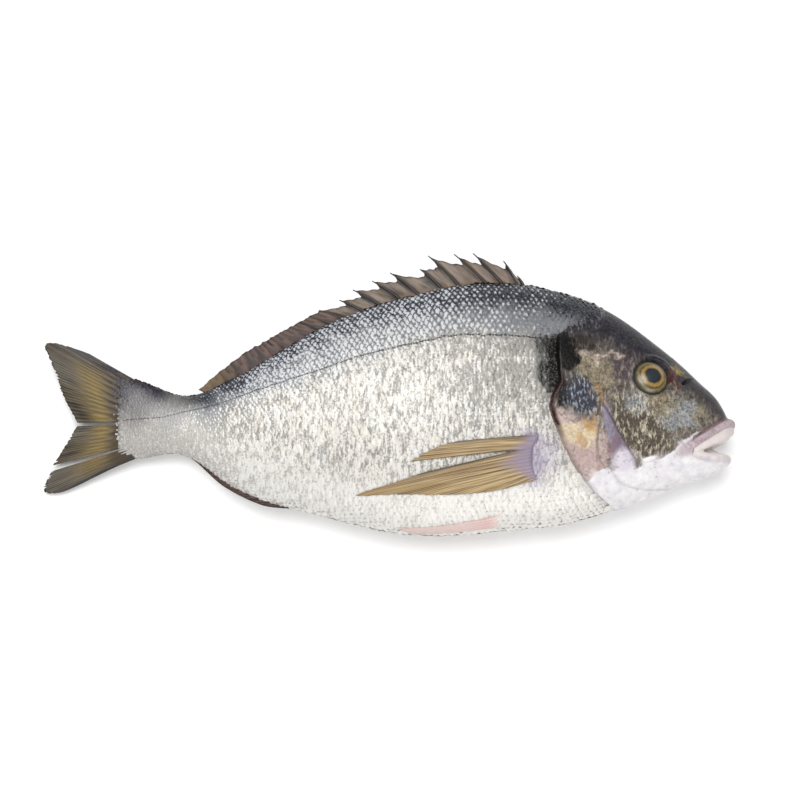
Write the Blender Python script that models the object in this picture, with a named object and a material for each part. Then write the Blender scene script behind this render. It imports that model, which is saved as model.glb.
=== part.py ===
"""A whole raw gilthead bream, uncut, lying on its left side as it would on a slab.

Metres, +Z up. The head points to +X and the back to +Y, so the right flank faces up.
The origin is on the resting surface, under the middle of the fish's box.

Side-view places are (behind, height): behind is measured from the tip of the snout
towards the tail, and height from the level of the snout towards the back. Sideways is
measured from the fish's middle plane, and its right side, which faces up, is positive.
"""

import math

import bmesh
import bpy
import numpy as np
from mathutils import Matrix, Vector

MM = 0.001

# Driving dimensions
TOTAL_LENGTH = 300 * MM
SNOUT_X = TOTAL_LENGTH / 2
SNOUT_Y = -16.6 * MM  # the level of the snout, from the middle of the fish's box

# The body in millimetres: behind, back, belly, half thickness, height of the widest line
BODY_STATIONS = (
    (3.2, 4.8, -13.6, 5.6, -3),
    (5, 9.0, -16.2, 7.2, -3),
    (8, 14.0, -18.4, 8.6, -2),
    (15, 20.8, -21.2, 10.6, 0),
    (22, 27.7, -23.0, 12.2, 3),
    (36, 39.4, -29.0, 14.6, 6),
    (54, 52.2, -34.6, 17.2, 9),
    (76, 60.7, -40.6, 19.5, 10),
    (96, 64.4, -42.8, 20.4, 11),
    (120, 63.5, -45.0, 20.1, 10),
    (150, 56.2, -43.6, 17.7, 8),
    (178, 45.6, -36.8, 13.8, 6),
    (204, 30.4, -29.6, 9.6, 4),
    (222, 20.8, -20.4, 7.0, 3),
    (240, 16.2, -9.2, 5.2, 3.5),
    (254, 21.2, -10.0, 3.5, 5),
    (268, 25.4, -10.6, 0.9, 7),
)
BACK_KEENNESS, BELLY_KEENNESS = 1.16, 1.0  # 1 is a round edge, and more is keener

# How the middle plane of the fish lies over the slab, in mm: behind, height over the slab
LYING_HEIGHTS = (
    (0, 15.8), (50, 17.2), (105, 17.5), (160, 16.8), (205, 14.2), (245, 9.8), (275, 6.8), (300, 5.4),
)
TAIL_ROLL = math.radians(7.5)  # the lower lobe of the tail lies lower than the upper one
TAIL_ROLL_FROM, TAIL_ROLL_TO = 225 * MM, 300 * MM
FLESH_SOFTNESS = 1.2 * MM  # how gently the underside turns flat where the slab presses it
PRESSED = 0.25 * MM

# Bony plates of the head: edges as (angle, radius) about a centre, in degrees and mm
GILL_COVER_CENTRE = (45, 5)
GILL_COVER_EDGE = (
    (-80, 37), (-70, 36.7), (-56, 35), (-40, 33.6), (-22, 34.7), (-3, 36.2), (8, 36.2), (22, 35),
    (40, 38), (60, 36),
)
CHEEK_CENTRE = (30, 5)
CHEEK_EDGE = ((-84, 30), (-74, 31.6), (-57, 34.8), (-43, 33.8), (-21, 28.4), (4, 29), (22, 27.5))
PLATE_INNER = 0.6  # a plate lies flush with the flank inside this share of its edge's radius
GILL_COVER_RISE, CHEEK_RISE = 1.5 * MM, 0.9 * MM
PLATE_LOWER_FADE, PLATE_UPPER_FADE = 14, 16  # degrees over which the edge dies away at its ends
PLATE_SUNK, PLATE_END_RISE = 0.3, 0.1  # shares of the rise: under the skin inside, left at the ends

# Eyes
EYE_PLACE = (37.0 * MM, 21.3 * MM)
EYE_RADIUS, EYE_FLATNESS, EYE_PROUD = 8.0 * MM, 0.55, 2.0 * MM
EYELID_THICKNESS = 0.9 * MM
NOSTRIL_PLACE, NOSTRIL_SIZE = (22.2 * MM, 19.6 * MM), (2.3 * MM, 1.0 * MM, 1.6 * MM)
NOSTRIL_TURN = math.radians(-38)

# Mouth, a little open: the rolls of its lips in mm, from the front to the corner of the mouth
UPPER_LIP = ((2.4, 2.4), (6, 0.9), (12, -2.9), (17, -6.0), (20.5, -8.4))
INNER_LIP = ((2.5, -0.5), (7, -4.2), (12, -6.8), (16, -8.7), (19, -10))
LOWER_LIP = ((4.7, -13.0), (8, -12.9), (12, -12.6), (16, -12.2), (19, -11.8))
LIP_RADIUS, INNER_LIP_RADIUS = 2.4 * MM, 2.2 * MM
LIP_SUNK, LIP_END = 0.3, 0.35  # shares of the radius: how deep a roll is sunk, and its end's size
GAPE = ((18.6, -10.5), (8, -6.6), (-4, -1.6), (-4, -11.6), (8, -10.8))

# Dorsal fin in mm: where each spine leaves the back, and its tip
DORSAL_SPINES = (
    (90.4, 93.6, 68.2), (92.6, 99.6, 75.0), (98.6, 112.9, 78.4), (105.3, 121.2, 78.0),
    (117.4, 132.5, 77.3), (125.0, 136.1, 71.3), (135.1, 149.1, 69.7), (142.7, 157.0, 66.1),
    (151.6, 165.4, 62.2), (159.2, 171.2, 57.6), (167.5, 180.1, 53.2),
)
SPINE_ROOT_RADIUS, SPINE_TIP_RADIUS = 0.85 * MM, 0.4 * MM
SPINE_WEB_REACH = (0.94, 0.72, 0.64, 0.72)  # shares of a spine's length, from one to the next
DORSAL_RAYS, DORSAL_RAYS_FROM, DORSAL_RAYS_TO = 12, 167.5 * MM, 228 * MM
DORSAL_RAY_TIPS = (
    (180.1, 53.2), (186.9, 49.6), (193.3, 46.1), (199.4, 42.7), (205, 39.5), (210.5, 36.6), (218.3, 31.0),
    (225.7, 25.2), (232.6, 18.8),
)

# Tail fin in mm: where its rays leave the flesh, and three groups of tips with splits between
TAIL_ROOT = ((257, 21.5), (263, 18.5), (265, 12), (265, 4.6), (264, -3), (262.5, -7.5), (260, -11))
TAIL_UPPER_TIPS = (
    (281, 35.2), (294.6, 39.4), (300, 38.5), (297.8, 32.5), (294.4, 23.9), (291.5, 15.8), (285.7, 5.2),
)
TAIL_LOWER_TIPS = ((286, 3.6), (289.9, -2.9), (292.9, -7.9), (296.4, -13.2))
TAIL_LOWEST_TIPS = ((297, -15.8), (298.7, -19.4), (300, -24.6), (291, -24.6), (276.5, -17.6))
TAIL_GROUPS = (
    (TAIL_UPPER_TIPS, 0.0, 0.49, 10),
    (TAIL_LOWER_TIPS, 0.51, 0.75, 4),
    (TAIL_LOWEST_TIPS, 0.77, 1.0, 5),
)

# Anal fin, folded back along the belly
ANAL_FROM, ANAL_TO, ANAL_RAYS = 180 * MM, 224 * MM, 11
ANAL_SWEEP, ANAL_DROP = 11 * MM, 2.6 * MM
ANAL_FADE = 14 * MM, 4 * MM  # the drop fades from this far inside each end to this far outside

# Pectoral fins in mm: a short upper group of rays, and the long main blade
PECTORAL_ROOT = ((86, -5.1), (88.5, -10), (89, -14.6), (88.6, -19.5), (87, -23.5))
PECTORAL_UPPER_TIPS = ((120.2, -7.8), (129.3, -10.4), (140.5, -16.1))
PECTORAL_MAIN_TIPS = (
    (135.7, -21.0), (150, -25.6), (163, -29.6), (149.1, -29.6), (128.8, -30.0), (108.5, -28.9), (96.8, -26.5),
)
PECTORAL_GROUPS = ((PECTORAL_UPPER_TIPS, 0.0, 0.3, 3), (PECTORAL_MAIN_TIPS, 0.26, 1.0, 8))
PECTORAL_PROUD = 1.0 * MM

# Pelvic fins, folded against the belly: degrees round the section, -90 is the belly's keel
PELVIC_FROM, PELVIC_TO, PELVIC_RAYS = 98 * MM, 146 * MM, 4
PELVIC_ROOT_ANGLES, PELVIC_TIP_ANGLES = (-62, -76), (-75, -85)
PELVIC_PROUD, PELVIC_SHORTENING = 0.4 * MM, 0.12  # the inner rays are shorter by this share

RAY_THICKNESS, WEB_THICKNESS, BURIED = 1.3 * MM, 0.7 * MM, 1.2 * MM
EDGE_THICKNESS = 0.55  # share of a fin's thickness that is left at its edge
SPINE_DEPTH, WEB_DEPTH, ANAL_DEPTH = 2 * MM, 1.5 * MM, 2 * MM  # of the roots, inside the flesh
FIN_SWAY, TAIL_SWAY = 0.3 * MM, 0.8 * MM

# Resolution
LIP_STEPS, LIP_SIDES = 15, 7
PLATE_ANGLES, PLATE_SHARES = 16, 4
EYE_SEGMENTS, EYE_RINGS, EYELID_STEPS, EYELID_SIDES = 16, 8, 18, 6
BODY_SIDES = 40
SPINE_RINGS, SPINE_SIDES, SPINE_WEB_COLUMNS, SPINE_WEB_ROWS = 3, 6, 4, 3
DORSAL_ROWS, TAIL_ROWS, ANAL_ROWS, PECTORAL_ROWS, PELVIC_ROWS = 4, 5, 3, 6, 5
NOSTRIL_SEGMENTS, NOSTRIL_RINGS = 12, 8
SNOUT_RINGS, HEAD_RINGS, TRUNK_RINGS = 5, 14, 15
SNOUT_END, HEAD_END, BODY_END = 10 * MM, 84 * MM, 268 * MM

# Tools that cut: half the width between the jaws, and the slab under the fish
GAPE_REACH = 40 * MM
SLAB_HALF_LENGTH, SLAB_HALF_WIDTH, SLAB_DEPTH = 200 * MM, 100 * MM, 50 * MM
WELD_DISTANCE, SHARP_ANGLE = 0.002 * MM, math.radians(35)


def curve_through(knots, values):
    """A smooth function, a natural cubic spline, through rows of values at the knots."""
    knots = np.asarray(knots, float)
    values = np.asarray(values, float).reshape(len(knots), -1)
    steps = np.diff(knots)
    rises = np.diff(values, axis=0) / steps[:, None]
    system = np.eye(len(knots))
    bends = np.zeros_like(values)
    for i in range(1, len(knots) - 1):
        system[i, i - 1 : i + 2] = steps[i - 1], 2 * (steps[i - 1] + steps[i]), steps[i]
        bends[i] = 6 * (rises[i] - rises[i - 1])
    bends = np.linalg.solve(system, bends)

    def read(at):
        at = np.clip(np.asarray(at, float), knots[0], knots[-1])
        i = np.clip(np.searchsorted(knots, at) - 1, 0, len(steps) - 1)
        before, after = (knots[i + 1] - at)[..., None], (at - knots[i])[..., None]
        step = steps[i][..., None]
        line = values[i] / step * before + values[i + 1] / step * after
        bow = bends[i] * (before**3 / step - before * step) + bends[i + 1] * (after**3 / step - after * step)
        return line + bow / 6

    return read


def spread(places, shares):
    """Places in metres at shares of the way along a smooth line through places in mm."""
    return curve_through(np.linspace(0, 1, len(places)), np.asarray(places) * MM)(shares)


STATIONS = np.asarray(BODY_STATIONS) * MM
# Knots go by the square root of the distance, because the form changes fastest at the snout
body_curve = curve_through(np.sqrt(STATIONS[:, 0]), STATIONS[:, 1:])
LYING = np.asarray(LYING_HEIGHTS) * MM
lying_curve = curve_through(LYING[:, 0], LYING[:, 1])


def body_at(behind):
    """Back, belly, half thickness and widest height of the body, behind the snout."""
    return np.moveaxis(body_curve(np.sqrt(behind)), -1, 0)


def ease(value, start, end):
    """0 before start, 1 after end, and a smooth step between them."""
    share = np.clip((value - start) / (end - start), 0, 1)
    return share * share * (3 - 2 * share)


def in_place(behind, height, sideways):
    """Points where the fish lies, its underside pressed softly towards the slab."""
    behind, height, sideways = np.broadcast_arrays(behind, height, sideways)
    roll = math.tan(TAIL_ROLL) * ease(behind, TAIL_ROLL_FROM, TAIL_ROLL_TO)
    level = lying_curve(behind)[..., 0] + roll * height + sideways
    level = FLESH_SOFTNESS * np.logaddexp(0, level / FLESH_SOFTNESS) - PRESSED
    return np.stack([SNOUT_X - behind, SNOUT_Y + height, level], axis=-1)


def section(behind, angle, proud=0.0):
    """Height and half thickness at an angle in degrees, from the belly -90 to the back 90."""
    back, belly, half, widest = body_at(behind)
    sine, cosine = np.sin(np.radians(angle)), np.cos(np.radians(angle))
    reach = np.where(sine > 0, back - widest, widest - belly) + proud
    keenness = np.where(sine > 0, BACK_KEENNESS, BELLY_KEENNESS)
    return widest + reach * sine, (half + proud) * np.maximum(cosine, 0) ** keenness


def half_thickness(behind, height):
    """Distance of the skin from the middle plane at a side-view place."""
    back, belly, half, widest = body_at(behind)
    reach = np.where(height > widest, back - widest, widest - belly)
    keenness = np.where(height > widest, BACK_KEENNESS, BELLY_KEENNESS)
    share = np.clip((height - widest) / reach, -1, 1)
    return half * (1 - share**2) ** (keenness / 2)


def make_material(name, colour, roughness, metallic=0.0):
    """A plain finish. The colour is linear red, green and blue."""
    material = bpy.data.materials.new(name)
    material.use_nodes = True
    shader = material.node_tree.nodes["Principled BSDF"]
    shader.inputs["Base Color"].default_value = (*colour, 1)
    shader.inputs["Roughness"].default_value = roughness
    shader.inputs["Metallic"].default_value = metallic
    return material


def add_solid(name, points, faces, material, collection):
    """A closed solid from points and faces, in triangles that face outwards."""
    mesh = bpy.data.meshes.new(name)
    mesh.from_pydata([tuple(point) for point in points], [], faces)
    mesh.materials.append(material)
    made = bmesh.new()
    made.from_mesh(mesh)
    bmesh.ops.recalc_face_normals(made, faces=made.faces)
    bmesh.ops.triangulate(made, faces=made.faces)
    made.to_mesh(mesh)
    made.free()
    solid = bpy.data.objects.new(name, mesh)
    collection.objects.link(solid)
    return solid


def add_loft(name, rings, material, collection):
    """A closed skin over rings of points, with a flat cap at each end."""
    count, sides = rings.shape[:2]
    faces = [tuple(range(sides)), tuple((count - 1) * sides + side for side in range(sides))]
    for ring in range(count - 1):
        for side in range(sides):
            here, beside = ring * sides + side, ring * sides + (side + 1) % sides
            faces.append((here, beside, beside + sides, here + sides))
    return add_solid(name, rings.reshape(-1, 3), faces, material, collection)


def add_sheet(name, upper, lower, material, collection):
    """A thin solid between two grids of points, both faces split into triangles alike."""
    rows, columns = upper.shape[:2]
    grid = np.arange(rows * columns).reshape(rows, columns)
    under = rows * columns
    faces = []
    for row in range(rows - 1):
        for column in range(columns - 1):
            a, b = int(grid[row, column]), int(grid[row + 1, column])
            c, d = int(grid[row + 1, column + 1]), int(grid[row, column + 1])
            faces += [(a, b, c), (a, c, d)]
            faces += [(a + under, c + under, b + under), (a + under, d + under, c + under)]
    rim = [*grid[:, 0], *grid[-1, 1:], *grid[-2::-1, -1], *grid[0, -2:0:-1]]
    rim = [int(place) for place in rim]
    faces += [(a, a + under, b + under, b) for a, b in zip(rim, rim[1:] + rim[:1])]
    points = np.concatenate([upper.reshape(-1, 3), lower.reshape(-1, 3)])
    return add_solid(name, points, faces, material, collection)


def add_tube(name, line, radii, sides, material, collection):
    """A tube with closed ends along a line of points."""
    along = np.gradient(line, axis=0)
    along /= np.linalg.norm(along, axis=1)[:, None]
    across = np.cross(along, (0, 1, 0))
    across /= np.linalg.norm(across, axis=1)[:, None]
    up = np.cross(across, along)
    turns = np.linspace(0, 2 * math.pi, sides, endpoint=False)[None, :, None]
    rings = np.cos(turns) * across[:, None] + np.sin(turns) * up[:, None]
    return add_loft(name, line[:, None] + radii[:, None, None] * rings, material, collection)


def make_body(material, collection):
    """The head and trunk as one loft, with more rings over the head."""
    snout = np.linspace(STATIONS[0, 0] ** 0.5, SNOUT_END**0.5, SNOUT_RINGS) ** 2
    head = np.linspace(SNOUT_END, HEAD_END, HEAD_RINGS)[1:]
    trunk = np.linspace(HEAD_END, BODY_END, TRUNK_RINGS)[1:]
    angles = np.linspace(-90, 90, BODY_SIDES // 2 + 1)
    rings = []
    for behind in np.concatenate([snout, head, trunk]):
        height, half = section(behind, angles)
        right, left = in_place(behind, height, half), in_place(behind, height, -half)
        rings.append(np.concatenate([right, left[-2:0:-1]]))
    return add_loft("fish", np.array(rings), material, collection)


def make_plate(name, centre, edge, rise, side, material, collection):
    """A bony plate of the head: flush with the flank inside, and proud of it at its edge."""
    angles = np.linspace(edge[0][0], edge[-1][0], PLATE_ANGLES)
    radii = curve_through([place[0] for place in edge], [place[1] for place in edge])(angles)
    shares = np.linspace(PLATE_INNER, 1, PLATE_SHARES)
    turn = np.radians(angles)[:, None]
    behind = (centre[0] + radii * shares * np.cos(turn)) * MM
    height = (centre[1] + radii * shares * np.sin(turn)) * MM
    skin = half_thickness(behind, height)
    first, last = edge[0][0], edge[-1][0]
    ends = ease(angles, first, first + PLATE_LOWER_FADE) * ease(angles, last, last - PLATE_UPPER_FADE)
    lift = ease(shares, PLATE_INNER, 1) * (PLATE_END_RISE + (1 - PLATE_END_RISE) * ends[:, None])
    proud = rise * ((1 + PLATE_SUNK) * lift - PLATE_SUNK)
    outer = in_place(behind, height, side * (skin + proud))
    inner = in_place(behind, height, side * (skin - BURIED))
    return add_sheet(name, outer, inner, material, collection)


def eye_frame(side):
    """A turn and a place for an eye, its outward way along the skin's own slope."""
    behind, height = EYE_PLACE
    step = 2 * MM
    here = in_place(behind, height, side * half_thickness(behind, height))
    ahead = in_place(behind - step, height, side * half_thickness(behind - step, height))
    above = in_place(behind, height + step, side * half_thickness(behind, height + step))
    outward = side * np.cross(ahead - here, above - here)
    outward = Vector(outward / np.linalg.norm(outward))
    return Vector(here), outward.to_track_quat("Z", "Y").to_matrix().to_4x4()


def make_eye(side, material, collection):
    """The flattened dome of the eyeball."""
    made = bmesh.new()
    bmesh.ops.create_uvsphere(made, u_segments=EYE_SEGMENTS, v_segments=EYE_RINGS, radius=EYE_RADIUS)
    mesh = bpy.data.meshes.new("eye")
    made.to_mesh(mesh)
    made.free()
    mesh.materials.append(material)
    here, turn = eye_frame(side)
    sunk = Matrix.Translation((0, 0, EYE_PROUD - EYE_RADIUS * EYE_FLATNESS))
    mesh.transform(Matrix.Translation(here) @ turn @ sunk @ Matrix.Diagonal((1, 1, EYE_FLATNESS, 1)))
    eye = bpy.data.objects.new("eye", mesh)
    collection.objects.link(eye)


def make_eyelid(side, material, collection):
    """The low ring of skin round the eye."""
    here, turn = eye_frame(side)
    points, faces = [], []
    for ring in range(EYELID_STEPS):
        angle = 2 * math.pi * ring / EYELID_STEPS
        onward = (ring + 1) % EYELID_STEPS * EYELID_SIDES
        for place in range(EYELID_SIDES):
            around = 2 * math.pi * place / EYELID_SIDES
            out = EYE_RADIUS + EYELID_THICKNESS * math.cos(around)
            up = EYELID_THICKNESS * math.sin(around)
            points.append(here + turn @ Vector((out * math.cos(angle), out * math.sin(angle), up)))
            own, beside = ring * EYELID_SIDES, (place + 1) % EYELID_SIDES
            faces.append((own + place, own + beside, onward + beside, onward + place))
    add_solid("eyelid", points, faces, material, collection)


def make_lip(name, places, radius, material, collection):
    """A roll of the lips, arched from the right corner of the mouth round to the left one."""
    places = np.asarray(places) * MM
    front, corner = places[0, 0], places[-1, 0]
    turn = np.linspace(0, math.pi, LIP_STEPS)
    behind = corner - (corner - front) * np.sin(turn)
    height = curve_through(places[:, 0], places[:, 1])(behind)[:, 0]
    half = half_thickness(corner, places[-1, 1]) - LIP_SUNK * radius
    line = in_place(behind, height, half * np.cos(turn))
    swell = LIP_END + (1 - LIP_END) * np.sin(turn) ** 0.5
    add_tube(name, line, radius * swell, LIP_SIDES, material, collection)


def fan_columns(root, tips, start, end, rays):
    """Root and tip places of each column of a fan of rays: a ray, a web, a ray and so on."""
    shares = np.linspace(0, 1, 2 * rays - 1)
    return spread(root, start + (end - start) * shares), spread(tips, shares)


def fan_thickness(columns, rows):
    """Half the thickness over a fan: thick along the rays, thin between them and at the edge."""
    ray = (np.arange(columns) % 2 == 0)[None, :]
    taper = np.linspace(1, EDGE_THICKNESS, rows)[:, None]
    return np.where(ray, RAY_THICKNESS, WEB_THICKNESS) * taper / 2


def make_median_fan(name, roots, tips, rows, wave, material, collection):
    """A fin in the middle plane, waving gently to either side."""
    along = np.linspace(0, 1, rows)[:, None, None]
    places = roots[None] * (1 - along) + tips[None] * along
    columns = len(roots)
    sway = wave * along[..., 0] * np.sin(np.linspace(0, 3 * math.pi, columns))[None, :]
    half = fan_thickness(columns, rows)
    behind, height = places[..., 0], places[..., 1]
    upper, lower = in_place(behind, height, sway + half), in_place(behind, height, sway - half)
    return add_sheet(name, upper, lower, material, collection)


def make_spines(material, collection):
    """The spines of the dorsal fin, each leaning back from its root inside the flesh."""
    for root, tip, top in np.asarray(DORSAL_SPINES) * MM:
        back = body_at(root)[0]
        ends = np.array([in_place(root, back - SPINE_DEPTH, 0.0), in_place(tip, top, 0.0)])
        line = ends[0] + (ends[1] - ends[0]) * np.linspace(0, 1, SPINE_RINGS)[:, None]
        radii = np.linspace(SPINE_ROOT_RADIUS, SPINE_TIP_RADIUS, SPINE_RINGS)
        add_tube("spine", line, radii, SPINE_SIDES, material, collection)


def make_spine_webs(material, collection):
    """The webs between the spines, each hollowed out towards the spine behind it."""
    spines = np.asarray(DORSAL_SPINES) * MM
    across = np.linspace(0, 1, SPINE_WEB_COLUMNS)
    reach = np.array(SPINE_WEB_REACH)[:, None]
    for front, rear in zip(spines[:-1], spines[1:]):
        root = front[0] + (rear[0] - front[0]) * across
        roots = np.stack([root, body_at(root)[0] - WEB_DEPTH], axis=-1)
        tips = front[1:] + (rear[1:] - front[1:]) * across[:, None]
        ends = roots + (tips - roots) * reach
        make_median_fan("web", roots, ends, SPINE_WEB_ROWS, 0.0, material, collection)


def make_dorsal_rays(material, collection):
    """The soft rear part of the dorsal fin."""
    root = np.linspace(DORSAL_RAYS_FROM, DORSAL_RAYS_TO, 2 * DORSAL_RAYS - 1)
    roots = np.stack([root, body_at(root)[0] - WEB_DEPTH], axis=-1)
    tips = spread(DORSAL_RAY_TIPS, np.linspace(0, 1, len(root)))
    make_median_fan("dorsal rays", roots, tips, DORSAL_ROWS, FIN_SWAY, material, collection)


def make_tail(material, collection):
    """The forked tail fin, in three groups of rays."""
    for tips, start, end, rays in TAIL_GROUPS:
        roots, ends = fan_columns(TAIL_ROOT, tips, start, end, rays)
        make_median_fan("tail", roots, ends, TAIL_ROWS, TAIL_SWAY, material, collection)


def make_anal_fin(material, collection):
    """The anal fin, its rays laid back along the belly."""
    root = np.linspace(ANAL_FROM, ANAL_TO, 2 * ANAL_RAYS - 1)
    roots = np.stack([root, body_at(root)[1] + ANAL_DEPTH], axis=-1)
    inside, outside = ANAL_FADE
    drop = ANAL_DROP * ease(root, ANAL_FROM - outside, ANAL_FROM + inside)
    drop *= ease(root, ANAL_TO + outside, ANAL_TO - inside)
    tips = np.stack([root + ANAL_SWEEP, body_at(root + ANAL_SWEEP)[1] - drop], axis=-1)
    make_median_fan("anal fin", roots, tips, ANAL_ROWS, FIN_SWAY, material, collection)


def make_pectoral(side, material, collection):
    """A pectoral fin laid back along the flank, in two groups of rays."""
    along = np.linspace(0, 1, PECTORAL_ROWS)[:, None, None]
    for tips, start, end, rays in PECTORAL_GROUPS:
        roots, ends = fan_columns(PECTORAL_ROOT, tips, start, end, rays)
        places = roots[None] * (1 - along) + ends[None] * along
        behind, height = places[..., 0], places[..., 1]
        skin = half_thickness(behind, height)
        proud = PECTORAL_PROUD + fan_thickness(len(roots), PECTORAL_ROWS)
        outer = in_place(behind, height, side * (skin + proud))
        inner = in_place(behind, height, side * (skin - BURIED))
        add_sheet("pectoral", outer, inner, material, collection)


def make_pelvic(side, material, collection):
    """A pelvic fin folded back against the belly."""
    columns = 2 * PELVIC_RAYS - 1
    along, across = np.linspace(0, 1, PELVIC_ROWS)[:, None], np.linspace(0, 1, columns)[None, :]
    behind = PELVIC_FROM + (PELVIC_TO - PELVIC_FROM) * along * (1 - PELVIC_SHORTENING * across)
    root = PELVIC_ROOT_ANGLES[0] + (PELVIC_ROOT_ANGLES[1] - PELVIC_ROOT_ANGLES[0]) * across
    tip = PELVIC_TIP_ANGLES[0] + (PELVIC_TIP_ANGLES[1] - PELVIC_TIP_ANGLES[0]) * across
    angle = root + (tip - root) * along
    proud = PELVIC_PROUD + fan_thickness(columns, PELVIC_ROWS)
    outer_height, outer_half = section(behind, angle, proud)
    inner_height, inner_half = section(behind, angle, -BURIED)
    outer = in_place(behind, outer_height, side * outer_half)
    inner = in_place(behind, inner_height, side * inner_half)
    add_sheet("pelvic", outer, inner, material, collection)


def make_gape(collection):
    """The wedge of space between the jaws."""
    ring = np.array([[SNOUT_X - behind * MM, SNOUT_Y + height * MM, 0] for behind, height in GAPE])
    rings = np.array([ring - (0, 0, GAPE_REACH), ring + (0, 0, GAPE_REACH)])
    return add_loft("gape", rings, None, collection)


def make_nostril(side, collection):
    """The pit of a nostril."""
    behind, height = NOSTRIL_PLACE
    made = bmesh.new()
    bmesh.ops.create_uvsphere(made, u_segments=NOSTRIL_SEGMENTS, v_segments=NOSTRIL_RINGS, radius=1)
    mesh = bpy.data.meshes.new("nostril")
    made.to_mesh(mesh)
    made.free()
    mesh.transform(Matrix.Diagonal((*NOSTRIL_SIZE, 1)))
    place = in_place(behind, height, side * half_thickness(behind, height))
    mesh.transform(Matrix.Translation(place) @ Matrix.Rotation(NOSTRIL_TURN, 4, "Z"))
    pit = bpy.data.objects.new("nostril", mesh)
    collection.objects.link(pit)


def make_slab(collection):
    """What lies under the resting surface, which the underside is cut flat against."""
    corners = np.array([(-1, -1), (1, -1), (1, 1), (-1, 1)]) * (SLAB_HALF_LENGTH, SLAB_HALF_WIDTH)
    levels = [np.column_stack([corners, np.full(4, level)]) for level in (-SLAB_DEPTH, 0)]
    return add_loft("slab", np.array(levels), None, collection)


def apply_boolean(solid, operation, collection):
    """Join or cut a solid by everything in a collection, and then remove the collection."""
    modifier = solid.modifiers.new(operation, "BOOLEAN")
    modifier.operation = operation
    modifier.operand_type = "COLLECTION"
    modifier.collection = collection
    modifier.solver = "EXACT"
    modifier.material_mode = "TRANSFER"
    modifier.use_self = True
    bpy.context.view_layer.update()
    evaluated = solid.evaluated_get(bpy.context.evaluated_depsgraph_get())
    mesh = bpy.data.meshes.new_from_object(evaluated)
    solid.modifiers.remove(modifier)
    solid.data = mesh
    for piece in list(collection.objects):
        bpy.data.objects.remove(piece)
    bpy.data.collections.remove(collection)


def drop_scrap(solid):
    """Keep only the largest connected body of the mesh, and weld its coinciding points."""
    made = bmesh.new()
    made.from_mesh(solid.data)
    bmesh.ops.remove_doubles(made, verts=made.verts, dist=WELD_DISTANCE)
    unseen = set(made.faces)
    bodies = []
    while unseen:
        body, waiting = [], [unseen.pop()]
        while waiting:
            face = waiting.pop()
            body.append(face)
            shared = [edge for edge in face.edges if len(edge.link_faces) == 2]
            beside = {other for edge in shared for other in edge.link_faces} & unseen
            unseen -= beside
            waiting += beside
        bodies.append(body)
    bodies.sort(key=len)
    scrap = [face for body in bodies[:-1] for face in body]
    bmesh.ops.delete(made, geom=scrap, context="FACES")
    bmesh.ops.triangulate(made, faces=made.faces)
    made.to_mesh(solid.data)
    made.free()


def add_collection(name):
    collection = bpy.data.collections.new(name)
    bpy.context.scene.collection.children.link(collection)
    return collection


def main():
    for leftover in list(bpy.data.objects):
        bpy.data.objects.remove(leftover)

    skin = make_material("Silver scaled skin", (0.42, 0.43, 0.43), 0.35, 0.3)
    eyelid = make_material("Grey eyelid skin", (0.20, 0.20, 0.21), 0.4)
    lip = make_material("Pale lip skin", (0.62, 0.48, 0.48), 0.45)
    fin = make_material("Brown fin membrane", (0.30, 0.23, 0.15), 0.45)
    eye = make_material("Golden eye", (0.45, 0.33, 0.12), 0.15)

    fish = make_body(skin, bpy.context.scene.collection)
    hollows = add_collection("hollows")
    make_gape(hollows)
    for side in (1, -1):
        make_nostril(side, hollows)
    apply_boolean(fish, "DIFFERENCE", hollows)

    joined = add_collection("joined")
    for side in (1, -1):
        make_plate("gill cover", GILL_COVER_CENTRE, GILL_COVER_EDGE, GILL_COVER_RISE, side, skin, joined)
        make_plate("cheek", CHEEK_CENTRE, CHEEK_EDGE, CHEEK_RISE, side, skin, joined)
        make_eye(side, eye, joined)
        make_eyelid(side, eyelid, joined)
        make_pectoral(side, fin, joined)
        make_pelvic(side, fin, joined)
    make_lip("upper lip", UPPER_LIP, LIP_RADIUS, lip, joined)
    make_lip("inner lip", INNER_LIP, INNER_LIP_RADIUS, lip, joined)
    make_lip("lower lip", LOWER_LIP, LIP_RADIUS, lip, joined)
    make_spines(fin, joined)
    make_spine_webs(fin, joined)
    make_dorsal_rays(fin, joined)
    make_tail(fin, joined)
    make_anal_fin(fin, joined)
    apply_boolean(fish, "UNION", joined)

    below = add_collection("below")
    make_slab(below)
    apply_boolean(fish, "DIFFERENCE", below)
    drop_scrap(fish)
    fish.data.shade_smooth()
    fish.data.set_sharp_from_angle(angle=SHARP_ANGLE)


main()
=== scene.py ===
"""The looks of a whole raw gilthead bream, uncut, lying on its left side, and its light.

Metres, +Z up, head to +X and back to +Y. Side-view places are (behind, height), in mm where
a table gives them: behind the tip of the snout, and above its level. Sideways is measured
from the fish's middle plane, and its right side, which faces up, is positive.
"""

import math

import bmesh
import bpy
import numpy as np
from mathutils import Matrix, Vector


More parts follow.
